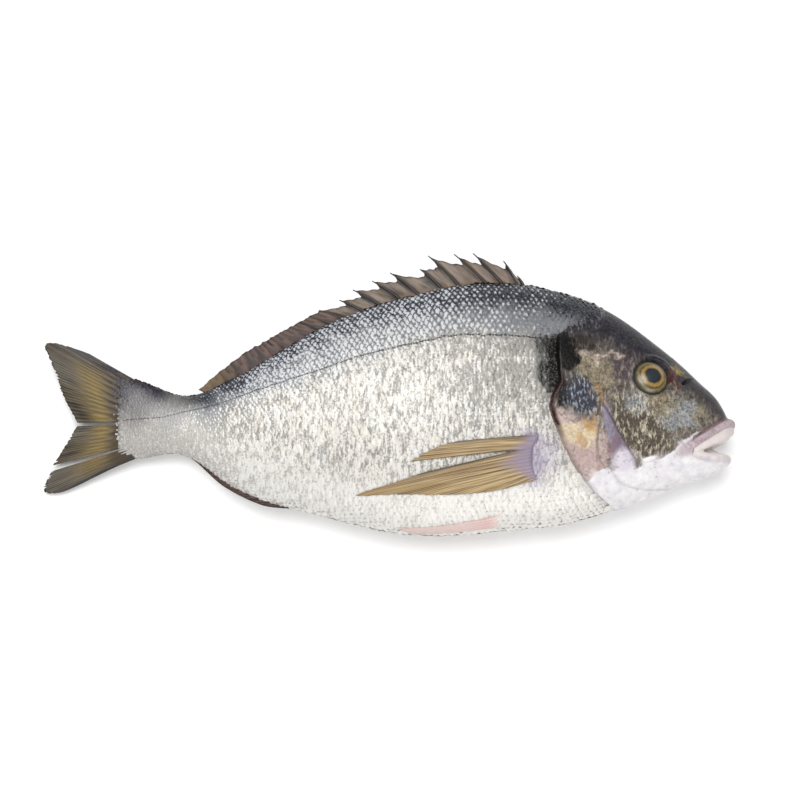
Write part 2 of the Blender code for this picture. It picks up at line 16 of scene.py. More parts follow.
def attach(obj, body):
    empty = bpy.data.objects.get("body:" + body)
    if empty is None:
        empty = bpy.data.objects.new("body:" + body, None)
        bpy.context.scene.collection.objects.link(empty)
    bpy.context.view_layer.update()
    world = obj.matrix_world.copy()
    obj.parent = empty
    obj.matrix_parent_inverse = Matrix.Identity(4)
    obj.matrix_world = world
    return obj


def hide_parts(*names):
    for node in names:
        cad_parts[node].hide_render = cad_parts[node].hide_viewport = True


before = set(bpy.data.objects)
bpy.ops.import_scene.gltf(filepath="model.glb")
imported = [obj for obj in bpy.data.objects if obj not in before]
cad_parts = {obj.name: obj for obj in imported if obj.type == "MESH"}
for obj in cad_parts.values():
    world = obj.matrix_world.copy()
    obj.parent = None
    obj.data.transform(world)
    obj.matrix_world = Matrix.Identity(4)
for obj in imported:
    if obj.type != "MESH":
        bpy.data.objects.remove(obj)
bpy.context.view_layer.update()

MM = 0.001

# The form of the fish, as in the CAD source
SNOUT_X, SNOUT_Y = 150 * MM, -16.6 * MM
BODY_STATIONS = (  # behind, back, belly, half thickness, height of the widest line
    (3.2, 4.8, -13.6, 5.6, -3),
    (5, 9.0, -16.2, 7.2, -3),
    (8, 14.0, -18.4, 8.6, -2),
    (15, 20.8, -21.2, 10.6, 0),
    (22, 27.7, -23.0, 12.2, 3),
    (36, 39.4, -29.0, 14.6, 6),
    (54, 52.2, -34.6, 17.2, 9),
    (76, 60.7, -40.6, 19.5, 10),
    (96, 64.4, -42.8, 20.4, 11),
    (120, 63.5, -45.0, 20.1, 10),
    (150, 56.2, -43.6, 17.7, 8),
    (178, 45.6, -36.8, 13.8, 6),
    (204, 30.4, -29.6, 9.6, 4),
    (222, 20.8, -20.4, 7.0, 3),
    (240, 16.2, -9.2, 5.2, 3.5),
    (254, 21.2, -10.0, 3.5, 5),
    (268, 25.4, -10.6, 0.9, 7),
)
BACK_KEENNESS, BELLY_KEENNESS = 1.16, 1.0
LYING_HEIGHTS = (
    (0, 15.8), (50, 17.2), (105, 17.5), (160, 16.8), (205, 14.2), (245, 9.8), (275, 6.8), (300, 5.4),
)
TAIL_ROLL = math.radians(7.5)
TAIL_ROLL_FROM, TAIL_ROLL_TO = 225 * MM, 300 * MM
FLESH_SOFTNESS, PRESSED = 1.2 * MM, 0.25 * MM

# Lines over the body
GILL_EDGE = (  # height, behind: the rear edge of the gill cover, and the nape above it
    (-44, 30), (-40, 40), (-36, 48), (-33, 55.5), (-28.6, 62.1), (-21.9, 67.6), (-16.3, 71.6),
    (-8.4, 75.6), (-2.8, 77.8), (2.8, 80), (7.2, 81.2), (12, 80), (18, 76.8), (30, 77.5), (39, 77),
    (46, 68), (54, 60), (62, 56), (70, 54),
)
LATERAL_LINE = (
    (81, 36.6), (96, 38.1), (115, 38.8), (124.5, 38), (134.4, 35.9), (147.8, 33.2), (162.5, 29.9),
    (175.1, 25.7), (188.5, 22), (205, 17.2), (222.6, 11.4), (247.3, 6.1), (268, 5.5),
)
TAIL_FLESH_END = (  # height, behind: where the small scales end on the tail fin
    (-12, 262), (-7, 265), (-3, 267.3), (4.6, 266.7), (14, 268.9), (22, 269.5), (31, 274),
)

# Scales
SCALE_PITCH, ROW_PITCH = 2.41 * MM, 2.25 * MM
SCALES_FROM, SCALES_TO = 54 * MM, 277 * MM
SCALE_SIZE, SCALE_TILT, SCALE_SEED = 2.3 * MM, 0.06, 11
SCALE_MIDDLE = 0.6
SKIN_SUNK = 0.25 * MM  # how far the skin lies under the scales

# Head
EYE_PLACE = (37.0 * MM, 21.3 * MM)
EYE_RADIUS, EYE_FLATNESS, EYE_PROUD = 8.0 * MM, 0.55, 2.0 * MM
EYE_RING, EYE_RING_WIDTH = 9.0, 0.9  # mm, round the middle of the eye
NOSTRIL = ((22.2, 19.6), (2.5, 0.8), -32)  # centre, size, turn
JAW_BONE = ((26.5, -4), (22, -8.2), (18.5, -10))
CHEEK_SWELL = ((44, -1), (13, 14))
HEAD_FROM, HEAD_ROUND, HEAD_TO = 3.2, 10, 88
HEAD_VOXEL = 0.52 * MM
UPPER_LIP = ((2.4, 2.4), (6, 0.9), (12, -2.9), (17, -6.0), (20.5, -8.4))
INNER_LIP = ((2.5, -0.5), (7, -4.2), (12, -6.8), (16, -8.7), (19, -10))
LOWER_LIP = ((4.7, -13.0), (8, -12.9), (12, -12.6), (16, -12.2), (19, -11.8))
LIP_RADIUS, INNER_LIP_RADIUS = 2.4 * MM, 2.0 * MM
TONGUE = ((15, -10), (7.5, 1.9, 6))  # centre, size
GAPE = ((18.6, -10.5), (8, -6.6), (-4, -1.6), (-4, -11.6), (8, -10.8))

# Fins
DORSAL_SPINES = (  # root behind, tip behind, tip height
    (90.4, 93.6, 68.2), (92.6, 99.6, 75.0), (98.6, 112.9, 78.4), (105.3, 121.2, 78.0),
    (117.4, 132.5, 77.3), (125.0, 136.1, 71.3), (135.1, 149.1, 69.7), (142.7, 157.0, 66.1),
    (151.6, 165.4, 62.2), (159.2, 171.2, 57.6), (167.5, 180.1, 53.2),
)
DORSAL_RAYS_FROM, DORSAL_RAYS_TO = 167.5 * MM, 228 * MM
DORSAL_RAY_TIPS = (
    (180.1, 53.2), (186.9, 49.6), (193.3, 46.1), (199.4, 42.7), (205, 39.5), (210.5, 36.6), (218.3, 31.0),
    (225.7, 25.2), (232.6, 18.8),
)
TAIL_ROOT = ((257, 21.5), (263, 18.5), (265, 12), (265, 4.6), (264, -3), (262.5, -7.5), (260, -11))
TAIL_UPPER_TIPS = (
    (281, 35.2), (294.6, 39.4), (300, 38.5), (297.8, 32.5), (294.4, 23.9), (291.5, 15.8), (285.7, 5.2),
)
TAIL_LOWER_TIPS = ((286, 3.6), (289.9, -2.9), (292.9, -7.9), (296.4, -13.2))
TAIL_LOWEST_TIPS = ((297, -15.8), (298.7, -19.4), (300, -24.6), (291, -24.6), (276.5, -17.6))
TAIL_GROUPS = (  # tips, share of the root from and to, rays
    (TAIL_UPPER_TIPS, 0.0, 0.49, 10),
    (TAIL_LOWER_TIPS, 0.51, 0.75, 5),
    (TAIL_LOWEST_TIPS, 0.77, 1.0, 6),
)
ANAL_FROM, ANAL_TO = 180 * MM, 224 * MM
ANAL_SWEEP, ANAL_DROP = 11 * MM, 2.6 * MM
PECTORAL_ROOT = ((86, -5.1), (88.5, -10), (89, -14.6), (88.6, -19.5), (87, -23.5))
PECTORAL_UPPER_TIPS = ((120.2, -7.8), (129.3, -10.4), (140.5, -16.1))
PECTORAL_MAIN_TIPS = (
    (135.7, -21.0), (150, -25.6), (163, -29.6), (149.1, -29.6), (128.8, -30.0), (108.5, -28.9), (96.8, -26.5),
)
PECTORAL_GROUPS = ((PECTORAL_UPPER_TIPS, 0.0, 0.3, 4), (PECTORAL_MAIN_TIPS, 0.26, 1.0, 11))
PELVIC_FROM, PELVIC_TO = 98 * MM, 146 * MM
PELVIC_ROOT_ANGLES, PELVIC_TIP_ANGLES = (-62, -76), (-75, -85)
RAY_HALF, WEB_HALF = 0.42 * MM, 0.12 * MM
FIN_SUNK = 1.5 * MM  # how far the root of a dorsal web lies inside the back
FIN_FINISHES = {  # web, rays, tint, edge, root, how much the web covers
    "Dorsal fin web": ("#8C7B6B", "#160E0C", "#86643E", "#2A2220", "#3E2A26", 0.97),
    "Dorsal spine bone": ("#3A2F2D", "#080505", "#5A4C44", "#1A1916", "#2A1E1A", 1.0),
    "Soft dorsal fin skin": ("#64483C", "#120806", "#5E4C24", "#2E1A18", "#4A1E26", 1.0),
    "Tail fin skin": ("#6E624C", "#181412", "#7C6836", "#242228", "#3E3630", 0.99),
    "Pectoral fin skin": ("#D2B98A", "#5C4226", "#9A6C3A", "#3A302A", "#8C8295", 0.8),
    "Pelvic fin skin": ("#DDCEC9", "#CDB4AE", "#D2ACA6", "#CFA8A2", "#E2DCD8", 0.85),
}

# Studio
BOARD_HALF, BOARD_SOFTNESS = 3.0, 0.3 * MM  # over this height what touches the board flattens
LIGHTS = (  # name, place, size, power
    ("soft key light", (-0.27, 0.54, 1.68), 1.5, 32),
    ("soft fill light", (0.4, -1.1, 1.0), 1.3, 12),
)
SKY_STRENGTH = 0.27
CAMERA_TARGET = (0.0052, -0.0034, 0.0175)
CAMERA_ELEVATION, CAMERA_DISTANCE, CAMERA_LENS = math.radians(80), 0.9606, 100

random = np.random.default_rng(7)


# Shape rules

def curve_through(knots, values):
    """A smooth function, a natural cubic spline, through rows of values at the knots."""
    knots = np.asarray(knots, float)
    values = np.asarray(values, float).reshape(len(knots), -1)
    steps = np.diff(knots)
    rises = np.diff(values, axis=0) / steps[:, None]
    system = np.eye(len(knots))
    bends = np.zeros_like(values)
    for i in range(1, len(knots) - 1):
        system[i, i - 1 : i + 2] = steps[i - 1], 2 * (steps[i - 1] + steps[i]), steps[i]
        bends[i] = 6 * (rises[i] - rises[i - 1])
    bends = np.linalg.solve(system, bends)

    def read(at):
        at = np.clip(np.asarray(at, float), knots[0], knots[-1])
        i = np.clip(np.searchsorted(knots, at) - 1, 0, len(steps) - 1)
        before, after = (knots[i + 1] - at)[..., None], (at - knots[i])[..., None]
        step = steps[i][..., None]
        line = values[i] / step * before + values[i + 1] / step * after
        bow = bends[i] * (before**3 / step - before * step)
        bow += bends[i + 1] * (after**3 / step - after * step)
        return line + bow / 6

    return read


def spread(places, shares):
    """Places in metres at shares of the way along a smooth line through places in mm."""
    return curve_through(np.linspace(0, 1, len(places)), np.asarray(places) * MM)(shares)


def through(table, at):
    """The second column of a table in mm, read at metres of its first column."""
    table = np.asarray(table, float) * MM
    return np.interp(at, table[:, 0], table[:, 1])


STATIONS = np.asarray(BODY_STATIONS) * MM
body_curve = curve_through(np.sqrt(STATIONS[:, 0]), STATIONS[:, 1:])
LYING = np.asarray(LYING_HEIGHTS) * MM
lying_curve = curve_through(LYING[:, 0], LYING[:, 1])


def body_at(behind):
    """Back, belly, half thickness and widest height of the body, behind the snout."""
    return np.moveaxis(body_curve(np.sqrt(np.maximum(behind, 0))), -1, 0)


def ease(value, start, end):
    """0 before start, 1 after end, and a smooth step between them."""
    share = np.clip((value - start) / (end - start), 0, 1)
    return share * share * (3 - 2 * share)


def lie(behind, height):
    """The level of the fish's middle plane over the slab."""
    roll = math.tan(TAIL_ROLL) * ease(behind, TAIL_ROLL_FROM, TAIL_ROLL_TO)
    return lying_curve(behind)[..., 0] + roll * height


def in_place(behind, height, sideways):
    """Points where the fish lies, its underside pressed softly towards the slab."""
    behind, height, sideways = np.broadcast_arrays(behind, height, sideways)
    level = lie(behind, height) + sideways
    level = FLESH_SOFTNESS * np.logaddexp(0, level / FLESH_SOFTNESS) - PRESSED
    return np.stack([SNOUT_X - behind, SNOUT_Y + height, level], axis=-1)


def side_view(points):
    """Behind, height and sideways of points, in metres."""
    behind, height = SNOUT_X - points[:, 0], points[:, 1] - SNOUT_Y
    return behind, height, points[:, 2] - lie(behind, height)


def section(behind, angle, proud=0.0):
    """Height and half thickness at an angle in degrees, from the belly -90 to the back 90."""
    back, belly, half, widest = body_at(behind)
    sine, cosine = np.sin(np.radians(angle)), np.cos(np.radians(angle))
    reach = np.where(sine > 0, back - widest, widest - belly) + proud
    keenness = np.where(sine > 0, BACK_KEENNESS, BELLY_KEENNESS)
    return widest + reach * sine, (half + proud) * np.maximum(cosine, 0) ** keenness


def half_thickness(behind, height):
    """Distance of the skin from the middle plane at a side-view place."""
    back, belly, half, widest = body_at(behind)
    reach = np.where(height > widest, back - widest, widest - belly)
    keenness = np.where(height > widest, BACK_KEENNESS, BELLY_KEENNESS)
    share = np.clip((height - widest) / reach, -1, 1)
    return half * (1 - share**2) ** (keenness / 2)


def off_line(behind, height, line):
    """Distance of places from a smooth line through side-view places, and the share along it."""
    finer = 6 * len(line) - 5 if len(line) > 2 else len(line)
    line = spread(line, np.linspace(0, 1, finer))
    nearest, along = np.full(np.shape(behind), 1.0), np.zeros(np.shape(behind))
    for i, (start, end) in enumerate(zip(line[:-1], line[1:])):
        way = end - start
        share = ((behind - start[0]) * way[0] + (height - start[1]) * way[1]) / (way @ way)
        share = np.clip(share, 0, 1)
        distance = np.hypot(behind - start[0] - share * way[0], height - start[1] - share * way[1])
        closer = distance < nearest
        nearest = np.where(closer, distance, nearest)
        along = np.where(closer, (i + share) / (len(line) - 1), along)
    return nearest, along


def stripe(behind, height, line, width):
    """1 along a line of side-view places in mm, fading to 0 over its width to either side."""
    return 1 - ease(off_line(behind, height, line)[0], 0.3 * width * MM, 1.3 * width * MM)


def off_oval(behind, height, centre, size, turn=0):
    """How far places are from the middle of an oval in mm: 1 on its rim."""
    turn = math.radians(turn)
    across, up = behind - centre[0] * MM, height - centre[1] * MM
    along = (across * math.cos(turn) + up * math.sin(turn)) / (size[0] * MM)
    beside = (up * math.cos(turn) - across * math.sin(turn)) / (size[1] * MM)
    return np.hypot(along, beside)


def patch(behind, height, centre, size, turn=0):
    """1 inside an oval, fading to 0 outside it."""
    return 1 - ease(off_oval(behind, height, centre, size, turn), 0.55, 1.35)


def mark(behind, height, shapes):
    """The strongest, at each place, of ovals (centre, size, turn) and stripes (line, width)."""
    drawn = [
        strength * (patch if len(shape) == 3 else stripe)(behind, height, *shape)
        for strength, *shape in shapes
    ]
    return np.max(drawn, axis=0)


def ridge(distance, width):
    """1 on a line, and smoothly down to 0 within two widths of it."""
    return np.exp(-((distance / width) ** 2))


def past_gill(behind, height):
    """How far a place lies behind the gill cover's edge."""
    return behind - through(GILL_EDGE, height)


# Meshes

def add_mesh(name, points, faces, material=None):
    """An object at the origin from points and faces."""
    mesh = bpy.data.meshes.new(name)
    mesh.from_pydata(np.asarray(points, float).reshape(-1, 3).tolist(), [], faces)
    if material:
        mesh.materials.append(material)
    piece = bpy.data.objects.new(name, mesh)
    bpy.context.scene.collection.objects.link(piece)
    return piece


def face_out(piece):
    """Turn the faces of a closed piece outwards, and shade it smoothly."""
    made = bmesh.new()
    made.from_mesh(piece.data)
    bmesh.ops.recalc_face_normals(made, faces=made.faces)
    made.to_mesh(piece.data)
    made.free()
    piece.data.shade_smooth()
    return piece


def ring_faces(count, sides, first=0):
    """Faces of a closed skin over rings of points, with a flat cap at each end."""
    faces = [tuple(range(end, end + sides)) for end in (first, first + (count - 1) * sides)]
    for ring in range(first, first + (count - 1) * sides, sides):
        for side in range(sides):
            here, beside = ring + side, ring + (side + 1) % sides
            faces.append((here, beside, beside + sides, here + sides))
    return faces


def sheet_faces(rows, columns):
    """Faces of a closed thin sheet between an upper and a lower grid of points."""
    under = rows * columns
    faces = []
    for row in range(rows - 1):
        for a in range(row * columns, (row + 1) * columns - 1):
            b, c, d = a + columns, a + columns + 1, a + 1
            faces += [(a, b, c, d), (a + under, d + under, c + under, b + under)]
    grid = np.arange(under).reshape(rows, columns)
    rim = np.concatenate([grid[:, 0], grid[-1, 1:], grid[-2::-1, -1], grid[0, -2:0:-1]]).tolist()
    return faces + [(a, a + under, b + under, b) for a, b in zip(rim, rim[1:] + rim[:1])]


def points_of(piece, what="co"):
    """The places of a piece's points, or their normals."""
    flat = np.empty(3 * len(piece.data.vertices))
    piece.data.vertices.foreach_get(what, flat)
    return flat.reshape(-1, 3)


def move_points(piece, points):
    piece.data.vertices.foreach_set("co", np.asarray(points, float).ravel())
    piece.data.update()


def keep_fields(piece, fields):
    """Store named values, one for each point, on the piece."""
    for name, values in fields.items():
        flat = np.asarray(values, float)
        kind, key = ("FLOAT_VECTOR", "vector") if flat.ndim == 2 else ("FLOAT", "value")
        layer = piece.data.attributes.new(name, kind, "POINT")
        layer.data.foreach_set(key, flat.ravel())


def modify(piece, kind, **settings):
    """Give a piece a modifier with its settings."""
    modifier = piece.modifiers.new(kind, kind)
    for name, value in settings.items():
        setattr(modifier, name, value)
    return modifier


def settle(piece):
    """Turn what a piece's modifiers make into its own plain mesh."""
    bpy.context.view_layer.update()
    mesh = bpy.data.meshes.new_from_object(piece.evaluated_get(bpy.context.evaluated_depsgraph_get()))
    piece.modifiers.clear()
    piece.data = mesh


def rest_on_board(piece):
    """Press whatever would reach below the board flat against it, its layers still in order."""
    points = points_of(piece)
    points[:, 2] = BOARD_SOFTNESS * np.logaddexp(0, points[:, 2] / BOARD_SOFTNESS)
    move_points(piece, points)


# Materials

def tone(code):
    """An sRGB hex colour as linear red, green, blue and full strength."""
    channels = [int(code[i : i + 2], 16) / 255 for i in (1, 3, 5)]
    linear = [c / 12.92 if c <= 0.04045 else ((c + 0.055) / 1.055) ** 2.4 for c in channels]
    return (*linear, 1)


def fill(tree, node, inputs):
    """Give a node's inputs their links, their colours from hex codes, and their values."""
    for socket, value in inputs.items():
        if isinstance(value, bpy.types.NodeSocket):
            tree.links.new(value, node.inputs[socket])
        elif isinstance(value, str) and value.startswith("#"):
            node.inputs[socket].default_value = tone(value)
        else:
            node.inputs[socket].default_value = value


def add(tree, kind, inputs=None, out=0, **settings):
    """Add a node with its settings and inputs, and give one of its outputs. A kind with no
    family is a shader node."""
    node = tree.nodes.new(kind if "Node" in kind else "ShaderNode" + kind)
    for name, value in settings.items():
        setattr(node, name, value)
    fill(tree, node, inputs or {})
    return node.outputs[out] if len(node.outputs) else None


def new_finish(name, fields=()):
    """A new material, its tree, the place on the piece, and the fields that it reads there."""
    material = bpy.data.materials.new(name)
    material.use_nodes = True
    tree = material.node_tree
    held = {field: add(tree, "Attribute", out="Fac", attribute_name=field) for field in fields}
    return material, tree, add(tree, "TexCoord", out="Object"), held


def lay_colours(tree, ground, layers, mottle):
    """Lay colours over a ground, each where its field is high, in a layer that mottle breaks up."""
    for field, colour, raggedness in layers:
        held = add(tree, "Attribute", out="Fac", attribute_name=field)
        uneven = add(tree, "MapRange", {0: mottle, 3: -raggedness, 4: raggedness})
        share = add(tree, "Math", {0: held, 1: uneven, 2: held}, operation="MULTIPLY_ADD")
        ground = add(tree, "Mix", {0: share, 6: ground, 7: colour}, 2, data_type="RGBA")
    return ground


def speckle(tree, place, size, detail=3.0):
    """An uneven value from 0 to 1 with grains of a real size."""
    grains = add(tree, "TexNoise", {"Vector": place, "Scale": 1 / size, "Detail": detail, "Roughness": 0.65})
    return add(tree, "MapRange", {0: grains, 1: 0.32, 2: 0.68})


def make_head_skin():
    """Wet skin of a bony head: a thin clear slime over smooth pigment, with fine scales on
    the cheek. It shines in soft patches, and its colours break up into specks."""
    material, tree, place, held = new_finish("Wet head skin", ("lower cover", "flecked"))
    specks = speckle(tree, place, 1.1 * MM)
    clouds = speckle(tree, place, 4.0 * MM, 4.0)
    mottle = add(tree, "Mix", {0: 0.5, 2: specks, 3: clouds})
    # Pale upright flecks, 1 mm apart, one to each small scale of the cheek
    apart = (1 / (1.0 * MM), 1 / (2.8 * MM), 1 / (9 * MM))
    slanted = add(tree, "Mapping", {"Vector": place, "Rotation": (0, 0, math.radians(12)), "Scale": apart})
    flecks = speckle(tree, slanted, 1.0)
    slate, bare, lip, milk = (
        add(tree, "Mix", {0: share, 6: dark, 7: pale}, 2, data_type="RGBA")
        for share, dark, pale in (
            (mottle, "#0F0E13", "#3B383F"), (clouds, "#3B3431", "#7A7168"),
            (mottle, "#857279", "#C5B7BB"), (clouds, "#C8C4CA", "#E3E0DF"),
        )
    )
    side = lay_colours(tree, bare, (
        ("temple", "#4A3F44", 0.6), ("cheek", "#4E463C", 0.5), ("silver patches", "#8B8F92", 1.0),
        ("gold patches", "#857A62", 0.8), ("lower cover", "#B9A7A1", 0.6), ("pink", "#A88F8E", 0.8),
        ("cream", "#CDBB98", 0.8), ("gold streak", "#A67E44", 0.9), ("opercle patch", "#33343E", 0.7),
        ("blotch", "#050404", 0.9), ("pale line", "#B3A196", 0.8), ("slate", slate, 0.5),
        ("eye red", "#4A2624", 0.5), ("gold band", "#8E7C50", 0.5),
    ), mottle)
    # Every colour of the side of the head is darkened by specks and lightened by flecks
    grain = add(tree, "MapRange", {0: specks, 3: 0.4, 4: 1.4})
    strength = add(tree, "MapRange", {0: held["lower cover"], 3: 0.8, 4: 0.4})
    side = add(tree, "Mix", {0: strength, 6: side, 7: grain}, 2, data_type="RGBA", blend_type="MULTIPLY")
    fleck = add(tree, "MapRange", {0: flecks, 1: 0.5, 2: 1.0})
    share = add(tree, "Math", {0: fleck, 1: held["flecked"]}, operation="MULTIPLY")
    paler = (("opercle patch", "#A2ACBA", 0.2), ("slate", "#A9A8AE", 0.2))
    pale = lay_colours(tree, "#C2B8A4", paler, mottle)
    side = add(tree, "Mix", {0: share, 6: side, 7: pale}, 2, data_type="RGBA")
    colour = lay_colours(tree, side, (
        ("throat", milk, 0.8), ("flange", "#807888", 0.5), ("flange white", "#C9C2CB", 0.7),
        # The crease colour is painted shade along the head's creases
        ("flange red", "#6E5660", 0.8), ("painted crease shade", "#35282A", 0.5), ("gill shadow", "#2C1210", 0.4),
        ("lip", lip, 0.4), ("lip edge", "#54403F", 0.6), ("mouth", "#CFC6C3", 0.2), ("slit", "#4E2220", 0.2),
    ), mottle)
    fill(tree, tree.nodes["Principled BSDF"], {
        "Base Color": colour,
        "Roughness": add(tree, "MapRange", {0: clouds, 3: 0.28, 4: 0.5}),
        "Normal": add(tree, "Bump", {"Height": mottle, "Strength": 0.6, "Distance": 0.3 * MM}),
        "Specular IOR Level": 0.16, "Coat Weight": 0.1, "Coat Roughness": 0.1,
    })
    return material


def make_scale_skin():
    """Silver scales: thin clear plates over a mirror-like layer, with dark pigment round the rim of each, and
    painted shade there too, where one scale overlaps the next. The flank glitters white, partly by painted
    glints, a random brightness to each scale, and the back is dark with a bright spot to a scale."""
    fields = ("spot", "shade", "pigment", "line", "dotted", "pore")
    material, tree, place, held = new_finish("Silver scales", fields)
    dust = speckle(tree, place, 0.9 * MM)
    clouds = speckle(tree, place, 9 * MM, 4.0)
    # The rims of many scales run together into fine upright streaks about 1.2 mm apart: dark pigment, and
    # painted shade between the scales
    apart = (1 / (1.2 * MM), 1 / (4.5 * MM), 1 / (4.5 * MM))
    streaks = speckle(tree, add(tree, "Mapping", {"Vector": place, "Scale": apart}), 1.0)
    rims = add(tree, "MapRange", {0: held["dotted"], 3: 0.12, 4: 1.25})
    strands = add(tree, "MapRange", {0: held["dotted"], 3: 1.0, 4: 0.3})
    light = add(tree, "Math", {0: held["spot"], 1: rims}, operation="MULTIPLY")
    # Each scale's random brightness is partly a painted glint
    for uneven, strength in ((dust, 0.65), (streaks, strands), (held["shade"], 0.45)):
        light = add(tree, "Math", {0: uneven, 1: strength, 2: light}, operation="MULTIPLY_ADD")
    light = add(tree, "Math", {0: light, 1: held["pigment"]}, operation="SUBTRACT")
    share = add(tree, "MapRange", {0: light, 1: 0.4, 2: 1.1}, interpolation_type="SMOOTHSTEP")
    bright = lay_colours(tree, "#D3D2CF", (
        ("warm", "#CCC5B8", 0.9), ("steel", "#CACCCF", 0.6), ("back", "#C4C8D0", 0.4),
        ("tail base", "#7F7A85", 0.6), ("belly", "#D9D6D1", 0.3), ("fin base", "#ABA4B0", 0.6),
        ("blotch", "#151211", 0.5),
    ), clouds)
    dark = lay_colours(tree, "#8C8984", (
        ("steel", "#72757B", 0.6), ("back", "#20232B", 0.4), ("tail base", "#2C2832", 0.6),
        ("belly", "#CAC6C0", 0.4), ("fin base", "#847B8C", 0.6), ("blotch", "#060404", 0.4),
    ), dust)
    colour = add(tree, "Mix", {0: share, 6: dark, 7: bright}, 2, data_type="RGBA")
    # Each scale of the lateral line has a short dark pore along its middle
    core = add(tree, "MapRange", {0: held["pore"], 1: 0.35, 2: 0.7, 4: 0.9})
    pore = add(tree, "Math", {0: core, 1: held["line"]}, operation="MULTIPLY")
    fill(tree, tree.nodes["Principled BSDF"], {
        "Base Color": add(tree, "Mix", {0: pore, 6: colour, 7: "#232226"}, 2, data_type="RGBA"),
        "Normal": add(tree, "Bump", {"Height": dust, "Strength": 0.4, "Distance": 0.15 * MM}),
        "Metallic": 0.12, "Roughness": 0.38, "Specular IOR Level": 0.3,
        "Coat Weight": 0.12, "Coat Roughness": 0.15,
    })
    return material


def make_fin_skin(name):
    """A fin: bony rays in a thin wet web that lets light through. The rays show as fine darker lines, and the
    web between them is more see-through than they are."""
    web, ray, tint, edge, root, cover = FIN_FINISHES[name]
    material, tree, place, held = new_finish(name, ("rib", "across", "along"))
    dust = speckle(tree, place, 0.9 * MM)
    # Pigment lies in streaks beside the rays, one to every two or three of them
    streaks = speckle(tree, add(tree, "CombineXYZ", {0: held["across"], 1: held["along"]}), 1.0)
    rays = add(tree, "Math", {0: streaks, 1: 0.75}, operation="MULTIPLY")
    rays = add(tree, "Math", {0: held["rib"], 1: 0.6, 2: rays}, operation="MULTIPLY_ADD", use_clamp=True)
    colour = add(tree, "Mix", {0: rays, 6: web, 7: ray}, 2, data_type="RGBA")
    fill(tree, tree.nodes["Principled BSDF"], {
        "Base Color": lay_colours(
            tree, colour, (("tint", tint, 0.7), ("edge", edge, 0.6), ("root", root, 0.5)), streaks
        ),
        "Alpha": add(tree, "Math", {0: rays, 1: 1 - cover, 2: cover}, operation="MULTIPLY_ADD"),
        "Normal": add(tree, "Bump", {"Height": dust, "Strength": 0.3, "Distance": 0.1 * MM}),
        "Roughness": 0.42, "Specular IOR Level": 0.24, "Coat Weight": 0.08,
    })
    return material


def make_eye_finish():
    """A fish eye: a clear wet cornea over a golden iris and a dark pupil. It has a sharp
    highlight, and the iris is brushed with brown."""
    material, tree, place, held = new_finish("Wet eye", ("out",))
    flecks = add(tree, "TexNoise", {"Vector": place, "Scale": 1 / (1.6 * MM), "Detail": 3.0})
    uneven = add(tree, "Math", {0: flecks, 1: 0.2, 2: held["out"]}, operation="MULTIPLY_ADD")
    colour = add(tree, "ValToRGB", {0: uneven})
    stops = (
        (0.0, "#1F2B31"), (0.42, "#1A242B"), (0.5, "#120F0C"), (0.56, "#7A6236"), (0.68, "#94793F"),
        (0.79, "#3F301C"), (0.88, "#7A6C44"), (1.0, "#45463C"),
    )
    ramp = colour.node.color_ramp.elements
    while len(ramp) < len(stops):
        ramp.new(0.5)
    for stop, (at, code) in zip(ramp, stops):
        stop.position, stop.color = at, tone(code)
    fill(tree, tree.nodes["Principled BSDF"], {
        "Base Color": colour, "Roughness": 0.3, "Coat Weight": 0.5, "Coat Roughness": 0.28,
    })
    return material


def make_floor_finish():
    """Matt white studio board: soft shadows, with no shine."""
    material, tree, place, _ = new_finish("White studio board")
    fibre = add(tree, "TexNoise", {"Vector": place, "Scale": 1 / (2 * MM)})
    fill(tree, tree.nodes["Principled BSDF"], {
        "Base Color": add(tree, "Mix", {0: fibre, 6: "#F2F2F2", 7: "#F7F7F7"}, 2, data_type="RGBA"),
        "Roughness": 0.9, "Emission Color": "#FFFFFF", "Emission Strength": 0.09,
    })
    return material


# Head

CREASES = (  # line in mm, depth in mm, width in mm
    (((55.5, -18.5), (50, -24.7), (39, -26.9), (27.9, -25.8)), 0.35, 0.8),
    (((43.4, -16.3), (36, -14.6), (29, -10.6), (24.5, -6.2)), 0.3, 0.8),
    (((59.6, 2), (61, -6), (60.5, -14), (57, -19)), 0.5, 0.9),
    (((58.5, 8.4), (54.8, 2.4), (50.5, -5.5), (44.2, -15.7)), 0.7, 0.8),
    (((27, -5), (22.5, -9), (19, -12.4)), 0.5, 0.8),
    (((70.4, 30.2), (66.5, 31.9), (63.8, 28.5), (59.4, 27.9)), 0.3, 0.7),
)
FLANGE = ((57.6, 7), (56, 0), (53, -7.5), (49.9, -14.6))
THROAT_BORDER = (  # behind, height: dark skin above and white below
    (0, -4), (17.5, -3.8), (23.5, -6), (26.8, -8.6), (32.9, -13.6), (43.4, -16.3), (56, -19), (64, -22),
    (75, -26), (90, -28),
)
PALE_LINE = ((66.5, 29.6), (64.5, 28.6), (62.1, 27.4), (59.4, 28.4), (56.6, 30.2), (53.9, 31.2), (49, 30))
